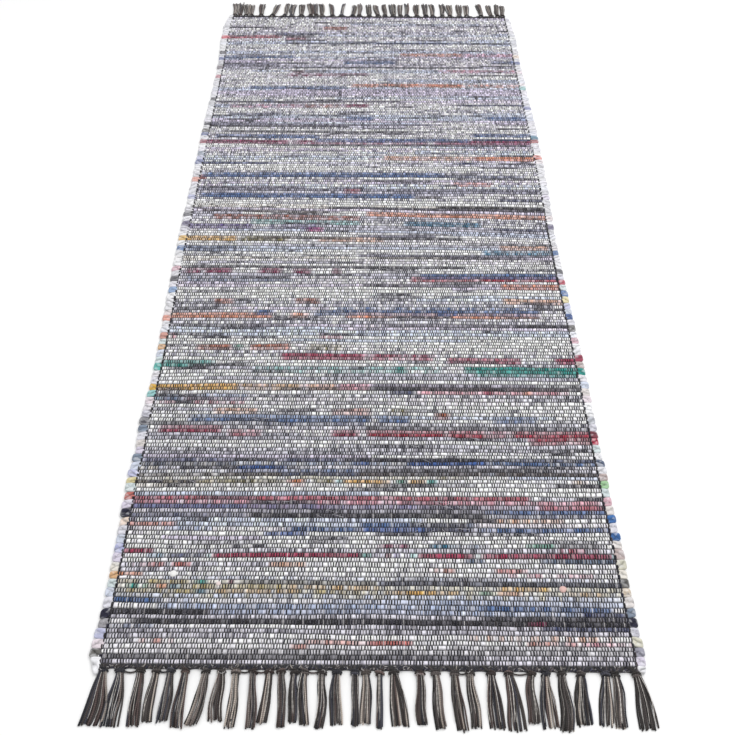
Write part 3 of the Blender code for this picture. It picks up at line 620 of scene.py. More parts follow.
def ringMap(quads, around, lines):
    # a small map for a closed ring of quads, whose last column ends at 1 and not back at 0
    level, place = np.divmod(quads, around)
    turned = np.where((place == 0) & (place.max(1, keepdims=True) == around - 1), around, place) / around
    return np.stack([turned, level / (lines - 1)], -1).reshape(-1, 2)


def repeatFaces(faces, count, pointsCount):
    return (faces[None] + np.arange(count)[:, None, None] * pointsCount).reshape(-1, faces.shape[1])


# every finish here is a fibre colour from the mesh, shaded and roughened by procedural streaks
def newFinish(name, finish):
    # a matt cloth, with the place and the fibre colour that each finish starts from
    material = bpy.data.materials.new(name)
    material.use_nodes = True
    shader = material.node_tree.nodes["Principled BSDF"]
    shader.inputs["Roughness"].default_value = finish["roughness"]
    shader.inputs["Specular IOR Level"].default_value = 0.15
    shader.inputs["Sheen Weight"].default_value = finish["sheen"]
    shader.inputs["Sheen Roughness"].default_value = 0.6
    place = addNode(material, "ShaderNodeTexCoord").outputs["Object"]
    tone = addNode(material, "ShaderNodeAttribute", attribute_name="fibreColour").outputs["Color"]
    return material, place, tone


def addNode(material, kind, **settings):
    made = material.node_tree.nodes.new(kind)
    for name, value in settings.items():
        setattr(made, name, value)
    return made


def join(material, output, socket):
    material.node_tree.links.new(output, socket)


def calculate(material, operation, first, second=0.0):
    made = addNode(material, "ShaderNodeMath", operation=operation)
    for socket, value in zip(made.inputs, (first, second)):
        if isinstance(value, (int, float)):
            socket.default_value = value
        else:
            join(material, value, socket)
    return made.outputs[0]


def stretched(material, source, scale, turn=0.0):
    mapping = addNode(material, "ShaderNodeMapping")
    mapping.inputs["Scale"].default_value = scale
    mapping.inputs["Rotation"].default_value = (0.0, 0.0, turn)
    join(material, source, mapping.inputs["Vector"])
    return mapping.outputs["Vector"]


def noise(material, vector, scale, detail=2.0, roughness=0.5):
    made = addNode(material, "ShaderNodeTexNoise")
    made.inputs["Scale"].default_value = scale
    made.inputs["Detail"].default_value = detail
    made.inputs["Roughness"].default_value = roughness
    join(material, vector, made.inputs["Vector"])
    return made.outputs["Fac"]


def mapParts(material, mapName):
    parts = addNode(material, "ShaderNodeSeparateXYZ")
    made = addNode(material, "ShaderNodeUVMap", uv_map=mapName)
    join(material, made.outputs["UV"], parts.inputs["Vector"])
    return parts.outputs


def waves(material, vector, perMetre, distortion=0.0):
    made = addNode(material, "ShaderNodeTexWave")
    made.inputs["Scale"].default_value = perMetre * pi / 10
    made.inputs["Distortion"].default_value = distortion
    join(material, vector, made.inputs["Vector"])
    return made.outputs["Fac"]


def mixedHeights(material, first, second, share):
    made = addNode(material, "ShaderNodeMix", data_type="FLOAT")
    made.inputs["Factor"].default_value = share
    join(material, first, made.inputs["A"])
    join(material, second, made.inputs["B"])
    return made.outputs["Result"]


def spread(material, value, low, high):
    made = addNode(material, "ShaderNodeMapRange")
    made.inputs["To Min"].default_value = low
    made.inputs["To Max"].default_value = high
    join(material, value, made.inputs["Value"])
    return made.outputs["Result"]


def tinted(material, colour, factor):
    made = addNode(material, "ShaderNodeMix", data_type="RGBA", blend_type="MULTIPLY")
    made.inputs["Factor"].default_value = 1.0
    join(material, colour, made.inputs["A"])
    join(material, factor, made.inputs["B"])
    return made.outputs["Result"]


def raised(material, height, distance, strength=1.0):
    bump = addNode(material, "ShaderNodeBump")
    bump.inputs["Distance"].default_value = distance
    bump.inputs["Strength"].default_value = strength
    join(material, height, bump.inputs["Height"])
    return bump.outputs["Normal"]


def finishWith(material, colour, normal):
    shader = material.node_tree.nodes["Principled BSDF"]
    join(material, colour, shader.inputs["Base Color"])
    join(material, normal, shader.inputs["Normal"])
    return material


ragFinish = {
    "roughness": 0.94,
    "sheen": 0.12,
    "threadScale": (170, 1500, 900),  # the rag's own threads run across the rug
    "threadShade": (0.86, 1.12),
    "creaseScale": (260, 420, 300),
    "creaseDepth": 0.40 * mm,
    "fleckScale": (700, 1100, 900),  # specks of white lint, which show on the dark rags
    "fleckFrom": 0.585,
    "fleckTone": "B4B2BC",
}


def flecked(material, place, colour):
    # lint shows as pale flecks, a little irregular in size
    specks = noise(material, stretched(material, place, ragFinish["fleckScale"]), 1.0, 2.0, 0.65)
    above = calculate(material, "SUBTRACT", specks, ragFinish["fleckFrom"])
    strength = calculate(material, "MULTIPLY", above, 9.0)
    strength.node.use_clamp = True
    mix = addNode(material, "ShaderNodeMix", data_type="RGBA", blend_type="LIGHTEN")
    mix.inputs["B"].default_value = (*linearColour(ragFinish["fleckTone"]), 1.0)
    join(material, calculate(material, "MULTIPLY", strength, 0.75), mix.inputs["Factor"])
    join(material, colour, mix.inputs["A"])
    return mix.outputs["Result"]


def ragMaterial():
    # torn cotton cloth: threads along the strip, with soft creases
    material, place, tone = newFinish("ragCotton", ragFinish)
    threads = noise(material, stretched(material, place, ragFinish["threadScale"]), 1.0, 3.0, 0.6)
    creases = noise(material, stretched(material, place, ragFinish["creaseScale"]), 1.0, 2.0)
    shade = spread(material, threads, *ragFinish["threadShade"])
    normal = raised(material, mixedHeights(material, creases, threads, 0.3), ragFinish["creaseDepth"])
    return finishWith(material, flecked(material, place, tinted(material, tone, shade)), normal)


foldFinish = {
    "wrinkleScale": (150, 190, 240),
    "wrinkleShade": (0.62, 1.24),
    "wrinkleDepth": 1.6 * mm,
}


def foldedRagMaterial():
    # the same cloth where it is crumpled at a turn: deep soft wrinkles with shade in them
    material, place, tone = newFinish("crumpledRag", ragFinish)
    wrinkles = noise(material, stretched(material, place, foldFinish["wrinkleScale"], 0.5), 1.0, 2.5, 0.55)
    threads = noise(material, place, 900.0, 2.0)
    shade = spread(material, wrinkles, *foldFinish["wrinkleShade"])
    shade = calculate(material, "MINIMUM", shade, 1.04)
    shade = calculate(material, "MULTIPLY", shade, spread(material, threads, 0.88, 1.10))
    normal = raised(material, mixedHeights(material, wrinkles, threads, 0.15), foldFinish["wrinkleDepth"])
    return finishWith(material, tinted(material, tone, shade), normal)


yarnFinish = {
    "roughness": 0.90,
    "sheen": 0.15,
    "pliesPerMetre": 560.0,
    "plyTurn": 0.95,  # radians between a ply and the yarn
    "plyShade": (0.70, 1.22),
    "plyDepth": 0.30 * mm,
    "freePlyShade": (0.42, 1.45),  # on the yarns of the fringe
    "fuzzScale": 1800.0,
}


def warpMaterial():
    # plied yarn that runs along the rug: slanting plies with a little fuzz
    material, place, tone = newFinish("warpYarn", yarnFinish)
    turned = stretched(material, place, (1, 1, 1), yarnFinish["plyTurn"])
    plies = waves(material, turned, yarnFinish["pliesPerMetre"], 0.6)
    fuzz = noise(material, place, yarnFinish["fuzzScale"], 2.0)
    mixed = mixedHeights(material, plies, fuzz, 0.4)
    shade = spread(material, mixed, *yarnFinish["plyShade"])
    normal = raised(material, mixed, yarnFinish["plyDepth"])
    return finishWith(material, tinted(material, tone, shade), normal)


def tasselMaterial():
    # the same yarn hanging free, its plies wound round the length given by the yarn map
    material, place, tone = newFinish("tasselYarn", yarnFinish)
    parts = mapParts(material, "yarn")
    turns = calculate(material, "ADD", parts["X"], parts["Y"])
    plies = calculate(material, "PINGPONG", turns, 0.5)
    fuzz = noise(material, place, yarnFinish["fuzzScale"], 2.0)
    mixed = mixedHeights(material, calculate(material, "MULTIPLY", plies, 2.0), fuzz, 0.4)
    shade = spread(material, mixed, *yarnFinish["freePlyShade"])
    normal = raised(material, mixed, yarnFinish["plyDepth"])
    return finishWith(material, tinted(material, tone, shade), normal)


undersideFinish = {
    "warpShade": "45434A",
    "warpShows": 0.45,  # how much of its gap a warp yarn fills
    "valleyShadeTo": (0.45, 1.05),  # painted shade: how dark it is between two rows; painted light: how light on a row
    "depth": 0.4 * mm,
}


def undersideMaterial():
    # the back shows the same rags, with the warp over the gaps that it passes under in front
    material, place, tone = newFinish("ragUnderside", ragFinish)
    parts = mapParts(material, "weave")
    row = calculate(material, "FLOOR", parts["Y"])
    end = calculate(material, "ADD", parts["X"], calculate(material, "ADD", row, 0.5))
    phase = calculate(material, "PINGPONG", end, 1.0)
    warp = calculate(material, "LESS_THAN", phase, undersideFinish["warpShows"])
    inRow = calculate(material, "PINGPONG", parts["Y"], 0.5)
    # painted shade between the rows, and painted light on them
    valley = spread(material, calculate(material, "MULTIPLY", inRow, 2.0), *undersideFinish["valleyShadeTo"])
    threads = noise(material, stretched(material, place, ragFinish["threadScale"]), 1.0, 3.0, 0.6)
    shade = calculate(material, "MULTIPLY", spread(material, threads, 0.8, 1.1), valley)
    mix = addNode(material, "ShaderNodeMix", data_type="RGBA")
    mix.inputs["B"].default_value = (*linearColour(undersideFinish["warpShade"]), 1.0)
    join(material, warp, mix.inputs["Factor"])
    join(material, tone, mix.inputs["A"])
    normal = raised(material, calculate(material, "ADD", threads, warp), undersideFinish["depth"])
    return finishWith(material, tinted(material, mix.outputs["Result"], shade), normal)


ragCotton = ragMaterial()
crumpledRag = foldedRagMaterial()
warpYarn = warpMaterial()
tasselYarn = tasselMaterial()
ragUnderside = undersideMaterial()
print("finishes made")

weft = {
    "valley": 3.4 * mm,  # between two rows
    "crest": 5.7 * mm,  # where the rag shows
    "pressed": 4.5 * mm,  # where a warp yarn holds it down
    "lumps": 0.35 * mm,
    "valleyRough": 0.15 * mm,
    "crestRough": 0.1 * mm,
    "thinDrop": 0.6 * mm,  # a dark rag is thinner
    "shoulders": (0.24, 0.76),  # a row is flat between these shares of its depth
    "shoulderRough": 0.05,
    "nearShoulder": 0.05,  # less so in the first rows, where the rags are rounder
    # painted shade in the valleys between rows, and on the rag beside each warp yarn
    "valleyShade": 0.12,
    "sideShade": 0.80,
    "edgeShade": 0.35,  # deep between the crowded outer yarns
}
stripEdges = np.linspace(0, ends - 1, 5).astype(int)
strips = list(enumerate(zip(stripEdges[:-1], stripEdges[1:]), 1))  # the top is made in four long strips


def weftTop():
    # the rag rows as a relief, high in each gap of the warp and low under each warp yarn
    rng = np.random.default_rng(31)
    lumps = softNoise((rows, ends), (1, 5), rng) + 0.5 * rng.uniform(-1, 1, (rows, ends))
    crest = np.where(floats, weft["pressed"], weft["crest"]) + weft["lumps"] * lumps
    crest -= weft["thinDrop"] * darkRag
    valley = weft["valley"] + weft["valleyRough"] * rng.uniform(-1, 1, (rows, ends))
    nearShare, farShare = weft["shoulders"]
    uneven = weft["shoulderRough"] * rng.uniform(-1, 1, (rows, ends))
    rounder = weft["nearShoulder"] * np.linspace(5, -1, rows).clip(0, 1)[:, None]
    shares = [0.0, nearShare + rounder + uneven, farShare - rounder + uneven]
    tall = [valley, crest + weft["crestRough"] * rng.uniform(-1, 1, crest.shape), crest]
    lineZ = np.vstack([np.stack(tall, 1).reshape(-1, ends), np.full((1, ends), weft["valley"])])
    lines = np.stack([linesAt(edgeX, shares), linesAt(edgeY, shares), lineZ], -1)
    # painted shade on the rag at each side of a warp yarn, where it sinks under the yarn
    beside = (np.roll(ragTone, 1, 1) + np.roll(ragTone, -1, 1)) / 2 * weft["sideShade"]
    tone = np.where(floats[..., None], beside, ragTone)
    tone[:, [0, -1]] *= weft["edgeShade"]
    tone = np.repeat(tone, 3, 0)
    # painted shade in the valley between two rows
    dark = weft["valleyShade"]
    nearShade = np.tile([dark, 1.0, 1.0], rows)[:, None, None]
    farShade = np.tile([1.0, 1.0, dark], rows)[:, None, None]
    for number, (first, last) in strips:
        points = lines[:, first:last + 1]
        faces = gridFaces(*points.shape[:2])
        left, right = tone[:, first:last], tone[:, first + 1:last + 1]
        colours = np.stack([left * nearShade, right * nearShade, right * farShade, left * farShade], 2)
        layout = {"OFBake": foldedLayout(points, faces)}
        colours = colours.reshape(-1, 3)
        addPiece(f"weftStrip{number}", points, [faces], ragCotton, colours, layout)


warp = {
    "halfWidth": 0.98 * mm,
    "naturalHalfWidth": 0.60 * mm,
    "wovenShade": 0.28,  # the dyed yarns lie in the shade between the rags
    "crown": 6.35 * mm,
    "edge": 5.75 * mm,
    "tuck": 4.1 * mm,  # height where it dives between two rows
    "tuckWidth": 0.62,  # share of its width there
    "narrowRows": (60, 85, 150, 195),  # the yarn is thinner in the middle of the rug
    "narrower": (1.0, 0.90, 0.87, 0.98),
    "uneven": 0.14,
    "clumps": (0.26, 0.65),  # the warp crowds in places, near and far
    "lean": 0.30 * mm,
    "drift": 0.15 * mm,  # sideways, from one place to the next
    "rough": 0.2 * mm,
    "thinDrop": 0.3 * mm,  # lower over a dark rag
    "yarnTint": 0.12,  # difference between two yarns, and along one
    "spotTint": 0.16,
}
yarnTones = {  # colour and its share of the dyed yarns
    "charcoal": ("3A383C", 0.46),
    "blueBlack": ("333344", 0.28),
    "brownGrey": ("524A4A", 0.18),
    "greenGrey": ("43443F", 0.08),
}
naturalTone = "C6C2C2"


def pickedTones(table, rng, count=None):
    palette = np.array([linearColour(code) for code, share in table.values()])
    shares = np.array([share for code, share in table.values()])
    return palette[rng.choice(len(palette), count, p=shares / shares.sum())]


def warpFloats():
    # each place where a warp yarn shows is a small crowned tent over one row of rag
    rng = np.random.default_rng(32)
    yarn = pickedTones(yarnTones, rng, ends) * (1 + warp["yarnTint"] * rng.uniform(-1, 1, (ends, 1)))
    yarn = yarn * warp["wovenShade"]
    yarn[natural[0]] = linearColour(naturalTone)
    wide = np.where(natural, warp["naturalHalfWidth"], warp["halfWidth"])
    wide = wide * np.interp(rowNumber, warp["narrowRows"], warp["narrower"])
    crowded = np.linspace(*warp["clumps"], rows)[:, None] * softNoise((rows, ends), (1, 2.5), rng)
    uneven = warp["uneven"] * rng.normal(0, 1, (rows, ends)).clip(-2, 2)
    wide = wide * (1 + crowded + uneven).clip(0.3, 1.7)
    lean = warp["lean"] * rng.normal(0, 1, (rows, ends))
    drift = warp["drift"] * rng.normal(0, 1, (rows, ends))
    high = warp["crown"] + warp["rough"] * rng.uniform(-1, 1, (rows, ends)) - warp["thinDrop"] * darkRag
    tint = 1 + warp["spotTint"] * rng.normal(0, 1, (rows, ends)).clip(-2, 2)
    tint = np.where(natural, tint * rng.uniform(0.35, 1.1, (rows, ends)), tint)
    middleX, middleY = between(edgeX, 0.5) + drift, between(edgeY, 0.5)
    tuckHalf = wide * warp["tuckWidth"]
    edgeHigh = high - (warp["crown"] - warp["edge"])
    tuck = np.full((rows, ends), warp["tuck"])
    spots = np.stack([
        np.stack([edgeX[:-1] + drift - lean - tuckHalf, edgeY[:-1], tuck], -1),
        np.stack([edgeX[:-1] + drift - lean + tuckHalf, edgeY[:-1], tuck], -1),
        np.stack([middleX - wide, middleY, edgeHigh], -1),
        np.stack([middleX, middleY, high], -1),
        np.stack([middleX + wide, middleY, edgeHigh], -1),
        np.stack([edgeX[1:] + drift + lean - tuckHalf, edgeY[1:], tuck], -1),
        np.stack([edgeX[1:] + drift + lean + tuckHalf, edgeY[1:], tuck], -1),
    ], 2)
    tent = np.array([(0, 1, 3), (0, 3, 2), (1, 4, 3), (2, 3, 5), (3, 6, 5), (3, 4, 6)])
    for number, (first, last) in strips:
        last = last + 1 if last == ends - 1 else last
        shown = floats[:, first:last]
        points = spots[:, first:last][shown]
        tone = (yarn[first:last] * tint[:, first:last, None])[shown]
        faces = repeatFaces(tent, len(points), 7)
        colours = np.repeat(tone, tent.size, 0)
        layout = {"OFBake": foldedLayout(points, faces)}
        addPiece(f"warpStrip{number}", points, [faces], warpYarn, colours, layout)


back = {
    "columns": 8,
    "top": 3.0 * mm,  # hidden under the rows
    "ribLow": 0.15 * mm,
    "ribHigh": 1.5 * mm,
}


def clothBack():
    # the closed sheet that the rest lies on: the back's ribs below, a plain face under the rows
    picks = np.linspace(0, ends - 1, back["columns"]).astype(int)
    x, y = linesAt(edgeX, (0.0, 0.5))[:, picks], linesAt(edgeY, (0.0, 0.5))[:, picks]
    z = np.where(np.arange(2 * rows + 1) % 2, back["ribLow"], back["ribHigh"])[:, None] + 0 * x
    lines, columns = x.shape
    low = np.stack([x, y, z], -1)
    high = np.stack([x, y, 0 * x + back["top"]], -1)[:, ::-1]
    ring = np.concatenate([low, high], 1)  # once round the sheet, at each line
    faces = gridFaces(lines, 2 * columns, wrap=True)[:, ::-1]
    rim = np.arange(2 * columns)[None]
    endFaces = np.concatenate([rim, (rim + (lines - 1) * 2 * columns)[:, ::-1]])
    tone = np.repeat(ragTone[:, picks], 2, 0)
    tone = np.concatenate([tone, tone[:, ::-1]], 1)
    colours = np.concatenate([np.repeat(tone.reshape(-1, 3), 4, 0), np.full((endFaces.size, 3), 0.3)])
    yarnsAcross = ring[..., 0] * (ends - 1) / (2 * weave["halfWidth"])
    rowsAlong = yarnsAcross * 0 + (np.arange(lines) / 2)[:, None]
    weaveMap = np.stack([yarnsAcross, rowsAlong], -1).reshape(-1, 2)
    corners = np.concatenate([faces.ravel(), endFaces.ravel()])
    layout = {"weave": weaveMap[corners]}
    return addPiece("ragCloth", ring, [faces, endFaces], ragUnderside, colours, layout)


turn = {
    "inner": 0.3825,  # tucked in under the outer warp yarns
    "high": 6.3 * mm,
    "boxy": 0.55,  # 1 is round, towards 0 is square
    "crease": 1.6 * mm,
    "creaseWidth": 1.1 * mm,
    "creaseShade": 0.45,
    "rimShade": 0.74,  # low on the sides and between two turns
    "uneven": 1.3 * mm,
    "patchy": 0.35,  # pale print and seams on the folded rag
    "washed": 0.70,  # how far the rags go towards white at the sides where none is charted
    "washedBy": 30,  # from this row on
    "farWhite": 0.22,  # the same where one is charted, in the far half
    "farWhiteFrom": 60,  # rows from here on, growing over as many rows
    "stronger": 0.8,  # a turn takes this much of the stronger of its two rows' tones
    "inward": 4,  # and takes them this many warp yarns in from the side
    "rough": 0.3 * mm,
}
Tail = namedtuple("Tail", "side near far reach taper")
tails = [  # the rag's loose ends at the corners, in mm: along the rug, and from the middle; 1 is a point
    Tail(-1, -1011, -979, 401, 0.62),
    Tail(1, -1001, -990, 396, 0.2),
    Tail(-1, 988, 1004, 396, 0.0),
]


def turnTone(side, row, column, white):
    charted = (leftTurns if side < 0 else rightTurns).get(row)
    if charted:
        tone = linearColour(everyRag[charted])
        first = turn["farWhiteFrom"]
        return tone + (white - tone) * turn["farWhite"] * np.clip((row - first) / first, 0, 1)
    pair = ragTone[[row, row + 1], column - side * turn["inward"]]
    stronger, weaker = sorted(pair, key=lambda tone: tone.min())
    tone = turn["stronger"] * stronger + (1 - turn["stronger"]) * weaker
    return tone + (white - tone) * turn["washed"] * min(row / turn["washedBy"], 1)


def ragTurns():
    # where the rag turns back into the next row: a boxy folded loop, two rows deep
    rng = np.random.default_rng(33)
    around, over = 16, 8
    angle = np.linspace(0, 2 * pi, around, endpoint=False)[None, :]
    rise = np.radians([-90, -30, 8, 28, 45, 62, 78, 90])[:, None]  # mostly on the upper side
    boxy = turn["boxy"]
    unitX = rounded(np.cos(rise), 0.6) * rounded(np.cos(angle), boxy)
    unitY = rounded(np.cos(rise), 0.6) * rounded(np.sin(angle), boxy)
    unitZ = rounded(np.sin(rise), 0.8) + 0 * angle
    white = linearColour(groundRags["white"].rag)
    loops = []  # side, near edge, far edge, reach, taper towards the near edge, and tone of each loop
    for side in (-1, 1):
        column = 0 if side < 0 else ends - 1
        for row in range(1 if side < 0 else 0, rows - 1, 2):
            near, far = edgeY[row, column], edgeY[row + 2, column]
            stray = strayAt((near + far) / 2, side) + turn["uneven"] * rng.uniform(-1, 1)
            tone = turnTone(side, row, column, white)
            loops.append((side, near, far, weave["turnReach"] + stray, 0.0, tone))
        for tail in [one for one in tails if one.side == side]:
            drop = weave["slant"] * tail.reach * mm * side
            near, far = tail.near * mm - drop, tail.far * mm - drop
            loops.append((side, near, far, tail.reach * mm, tail.taper, white))
    points, tones = [], []
    for side, near, far, reach, taper, tone in loops:
        deep = (reach - turn["inner"]) / 2
        high = turn["high"] * rng.uniform(0.85, 1.1) / 2
        middle = (near + far) / 2
        x = turn["inner"] + deep * (1 + unitX) * (1 - taper * (1 - unitY) / 2)
        y = (far - near) / 2 * rng.uniform(0.96, 1.08) * unitY
        y = y + rng.uniform(-0.25, 0.25) * (x - turn["inner"] - deep)
        lines = [y + rng.uniform(-0.9, 0.9) * (x - reach + deep) + rng.uniform(-3, 3) * mm for k in (0, 1)]
        top = np.clip(unitZ, 0, 1)
        crease = sum(np.exp(-(line / turn["creaseWidth"]) ** 2) for line in lines) * top
        z = high * (1 + unitZ) - turn["crease"] * crease
        z = z + turn["rough"] * top * rng.uniform(-1, 1, z.shape)
        points.append(np.stack([side * x, middle + y, np.maximum(z, 0)], -1))
        # painted shade low on the loop's sides, between two turns and in its creases
        rim = turn["rimShade"] + (1 - turn["rimShade"]) * np.clip((unitZ - 0.1) / 0.7, 0, 1)
        shade = (1 - turn["creaseShade"] * np.clip(crease, 0, 1)) * rim
        pale = turn["patchy"] * np.clip(4 * softNoise((over, around), (3, 3.2), rng) - 1, 0, 1)
        mixed = tone + (white - tone) * pale[..., None]
        tones.append(mixed * shade[..., None] * rng.uniform(0.94, 1.02))
    points = np.array(points)
    count = len(points)
    mirrored = sum(loop[0] < 0 for loop in loops)  # the left side's loops come first, mirror images
    quads = gridFaces(over, around, wrap=True)
    faces = repeatFaces(quads, count, over * around)
    faces[:mirrored * len(quads)] = faces[:mirrored * len(quads), ::-1]
    cells = cellLayout(ringMap(quads, around, over), count, 17).reshape(-1, 4, 2)
    cells[:mirrored * len(quads)] = cells[:mirrored * len(quads), ::-1]
    colours = np.array(tones).reshape(-1, 3)[faces.ravel()]
    layout = {"OFBake": cells.reshape(-1, 2)}
    addPiece("ragTurns", points, [faces], crumpledRag, colours, layout)


def rounded(value, power):
    return np.sign(value) * np.abs(value) ** power


def tubes(paths, radii, sides):
    # round yarns along many paths at once, with closed ends: points, faces and yarn maps
    count, stations = paths.shape[:2]
    ahead = np.gradient(paths, axis=1)
    ahead /= np.linalg.norm(ahead, axis=-1, keepdims=True)
    side = np.cross(ahead, (0.0, 0.0, 1.0))
    side /= np.maximum(np.linalg.norm(side, axis=-1, keepdims=True), 1e-9)
    above = np.cross(side, ahead)
    turns = np.linspace(0, 2 * pi, sides, endpoint=False)[:, None]
    ring = np.cos(turns) * side[:, :, None] + np.sin(turns) * above[:, :, None]
    points = paths[:, :, None] + radii[:, :, None, None] * ring
    quads = gridFaces(stations, sides, wrap=True)[:, ::-1]
    around = np.arange(sides)
    caps = np.array([around, around[::-1] + (stations - 1) * sides])
    unit = np.concatenate([
        ringMap(quads, sides, stations),
        np.stack([around / sides, np.zeros(sides)], -1),
        np.stack([around[::-1] / sides, np.ones(sides)], -1),
    ])
    return points.reshape(count, -1, 3), quads, caps, unit


def yarnPiece(name, paths, radii, sides, tones, pliesEach, across):
    # many yarns joined into one piece
    points, quads, caps, unit = tubes(paths, radii, sides)
    count = len(points)
    faceSets = [repeatFaces(quads, count, points.shape[1]), repeatFaces(caps, count, points.shape[1])]
    length, cap = unit[:quads.size], unit[quads.size:]
    colours = np.concatenate([np.repeat(tones, quads.size, 0), np.repeat(tones, caps.size, 0)])
    turns = np.concatenate([np.tile(length, (count, 1)), np.tile(cap, (count, 1))])
    cells = np.concatenate([cellLayout(length, count, across), cellLayout(cap, count, across)])
    layout = {"yarn": turns * (1.0, pliesEach), "OFBake": cells}
    return addPiece(name, points, faceSets, tasselYarn, colours, layout)


sideWarp = {"at": 0.3840, "swing": 0.8 * mm, "radius": 1.35 * mm, "high": 5.9 * mm}


def sideWarps():
    # the doubled outer warp yarns, which step in and out as the rag turns round them
    rng = np.random.default_rng(34)
    paths, tones = [], []
    steps = np.linspace(0, 1, 4)
    for side in (-1, 1):
        column = 0 if side < 0 else ends - 1
        for row in range(rows):
            near, far = edgeY[row, column], edgeY[row + 1, column]
            outward = 1 if row % 2 == (1 if side < 0 else 0) else -1
            stray = weave["edgeFollow"] * strayAt((near + far) / 2, side)
            swing = sideWarp["swing"] * (outward + rng.uniform(-0.8, 0.8))
            at = sideWarp["at"] + stray + swing * np.sin(pi * steps)
            high = 2.6 * mm + (sideWarp["high"] - 2.6 * mm) * np.sin(pi * steps) ** 0.7
            along = near + (far - near) * (steps * 1.1 - 0.05)
            paths.append(np.stack([side * at, along, high - 0.6 * mm], -1))
            tones.append(pickedTones(yarnTones, rng, 1)[0] * rng.uniform(0.4, 1.1))
    paths = np.array(paths)
    radii = np.tile(sideWarp["radius"] * np.array([0.7, 1.0, 1.0, 0.7]), (len(paths), 1))
    yarnPiece("sideWarps", paths, radii, 5, np.array(tones), 4, 34)


# tassels, left to right, as on the solids, in mm: middle of the knot, how far the tips lean to
# the right of it, and the width over the tips
Tassel = namedtuple("Tassel", "at lean spread")
nearTassels = [Tassel(*columns) for columns in (
    (-377, -5, 30), (-353, -2, 26), (-324, 1, 19), (-302, -2, 16), (-281, -2, 16), (-260, -3, 17),
    (-231, -13, 16), (-209, -1, 18), (-188, -2, 14), (-164, 2, 13), (-141, -5, 13), (-124, 4, 11),
    (-105, 1, 12), (-91, 3, 13), (-66, -2, 12), (-45, 1, 18), (-19, 1, 10), (-4, 0, 15), (16, -1, 8),
    (36, 8, 25), (73, 1, 14), (95, 5, 14), (122, 7, 16), (144, 4, 15), (174, 3, 21), (199, 4, 23),
    (231, -4, 15), (251, -2, 22), (274, -2, 19), (301, -5, 23), (336, -10, 20), (350, -4, 17),
    (380, 3, 24),
)]
farTassels = [Tassel(*columns) for columns in (
    (-381, -5, 14), (-366, -4, 18), (-349, -3, 18), (-333, -4, 16), (-306, 0, 16), (-274, 12, 16),
    (-239, 6, 13), (-219, 3, 17), (-191, -2, 16), (-165, -6, 16), (-148, -7, 14), (-133, -6, 14),
    (-103, -7, 12), (-78, 7, 8), (-45, 3, 13), (-27, 0, 12), (1, -3, 16), (27, -8, 16), (46, -3, 13),
    (69, -3, 22), (90, 0, 13), (108, 0, 12), (137, 0, 16), (162, -2, 15), (181, -2, 14), (209, 0, 14),
    (230, -1, 18), (257, 1, 18), (278, 0, 16), (318, -4, 14), (347, -4, 12), (366, 1, 12), (379, 3, 12),
)]

heading = {
    "halfWidth": 0.385,
    "depth": 0.0103,  # from the last rag row to the face that the tassels hang from
    "columns": 481,
    "twinePitch": 5.4 * mm,
    "twineHigh": 0.75 * mm,
    "twineShade": 0.65,
    "scallop": 3.2 * mm,  # how far the band is drawn out at each knot
    "scallopWidth": 6 * mm,
    "lightSpots": 0.08,
    "lightTone": "B8B3B1",
    "gatheredTone": "A8A19B",  # the undyed yarns drawn over the band
    "strays": 110,  # short pale threads on the band
}
BandLine = namedtuple("BandLine", "out up")
bandProfile = [  # out from the face and up, in mm, from the rag rows to the floor
    BandLine(-10.8, 0.4),
    BandLine(-8.6, 2.6),
    BandLine(-6.0, 3.4),
    BandLine(-3.8, 4.9),
    BandLine(-1.5, 4.6),
    BandLine(0.0, 2.6),
    BandLine(0.2, 0.3),
]
faceAt = weave["slant"] * heading["halfWidth"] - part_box("fringe_near")[1].y + heading["depth"]


def outward(end, x, out, z):
    # a point given by its distance out from the heading's face, at the near or the far end
    x, out, z = np.broadcast_arrays(x, out, z)
    return np.stack([x, end * (faceAt + out) - weave["slant"] * x, z], -1)


def headingBand(name, end, knots, rng):
    x = np.linspace(-1, 1, heading["columns"]) * heading["halfWidth"]
    nearest = np.abs(x[:, None] - knots).min(1)
    drawn = heading["scallop"] * (np.exp(-(nearest / heading["scallopWidth"]) ** 2) - 0.55)
    out = np.array([line.out for line in bandProfile])[:, None] * mm + np.zeros(len(x))
    up = np.array([line.up for line in bandProfile])[:, None] * mm + np.zeros(len(x))
    line = np.arange(len(bandProfile))[:, None]
    turned = 1.5 * line + 2.0 * softNoise(up.shape, (3, 30), rng)
    twine = np.sin(2 * pi * x / heading["twinePitch"] + turned) * (line > 0) * (line < 6)
    rough = rng.uniform(-1, 1, up.shape) * ((line > 0) & (line < 6))
    out = out + drawn * np.clip((line - 2) / 3, 0, 1) + 0.35 * mm * rough
    up = np.maximum(up + heading["twineHigh"] * (twine + 0.9 * rough), 0.2 * mm)
    points = outward(end, x, out, up)
    tone = pickedTones(yarnTones, rng, up.size).reshape(*up.shape, 3)
    tone = tone * rng.uniform(0.5, 1.6, (*up.shape, 1))
    # painted light on the twine's ridges and painted shade in its hollows
    tone *= (1 + heading["twineShade"] * twine)[..., None]
    spots = rng.random(up.shape) < heading["lightSpots"]
    tone[spots] = linearColour(heading["lightTone"]) * rng.uniform(0.3, 1.1, (spots.sum(), 1))
    if end < 0:
        points, tone = points[::-1], tone[::-1]
    faces = gridFaces(*points.shape[:2])
    layout = {"OFBake": foldedBand(points, faces)}
    colours = tone.reshape(-1, 3)[faces.ravel()]
    return addPiece(name, points, [faces], warpYarn, colours, layout)


def foldedBand(points, faces, folds=24):
    # the band's map for baking: short lengths stacked in the square
    spots = points.reshape(-1, 3)[faces]
    along = (spots[:, :, 0] / heading["halfWidth"] + 1) / 2 * folds
    fold = along.mean(1).astype(int).clip(0, folds - 1)[:, None]
    level = faces // points.shape[1] / (points.shape[0] - 1)
    return np.stack([0.02 + 0.96 * (along - fold), (fold + 0.05 + 0.9 * level) / folds], -1).reshape(-1, 2)


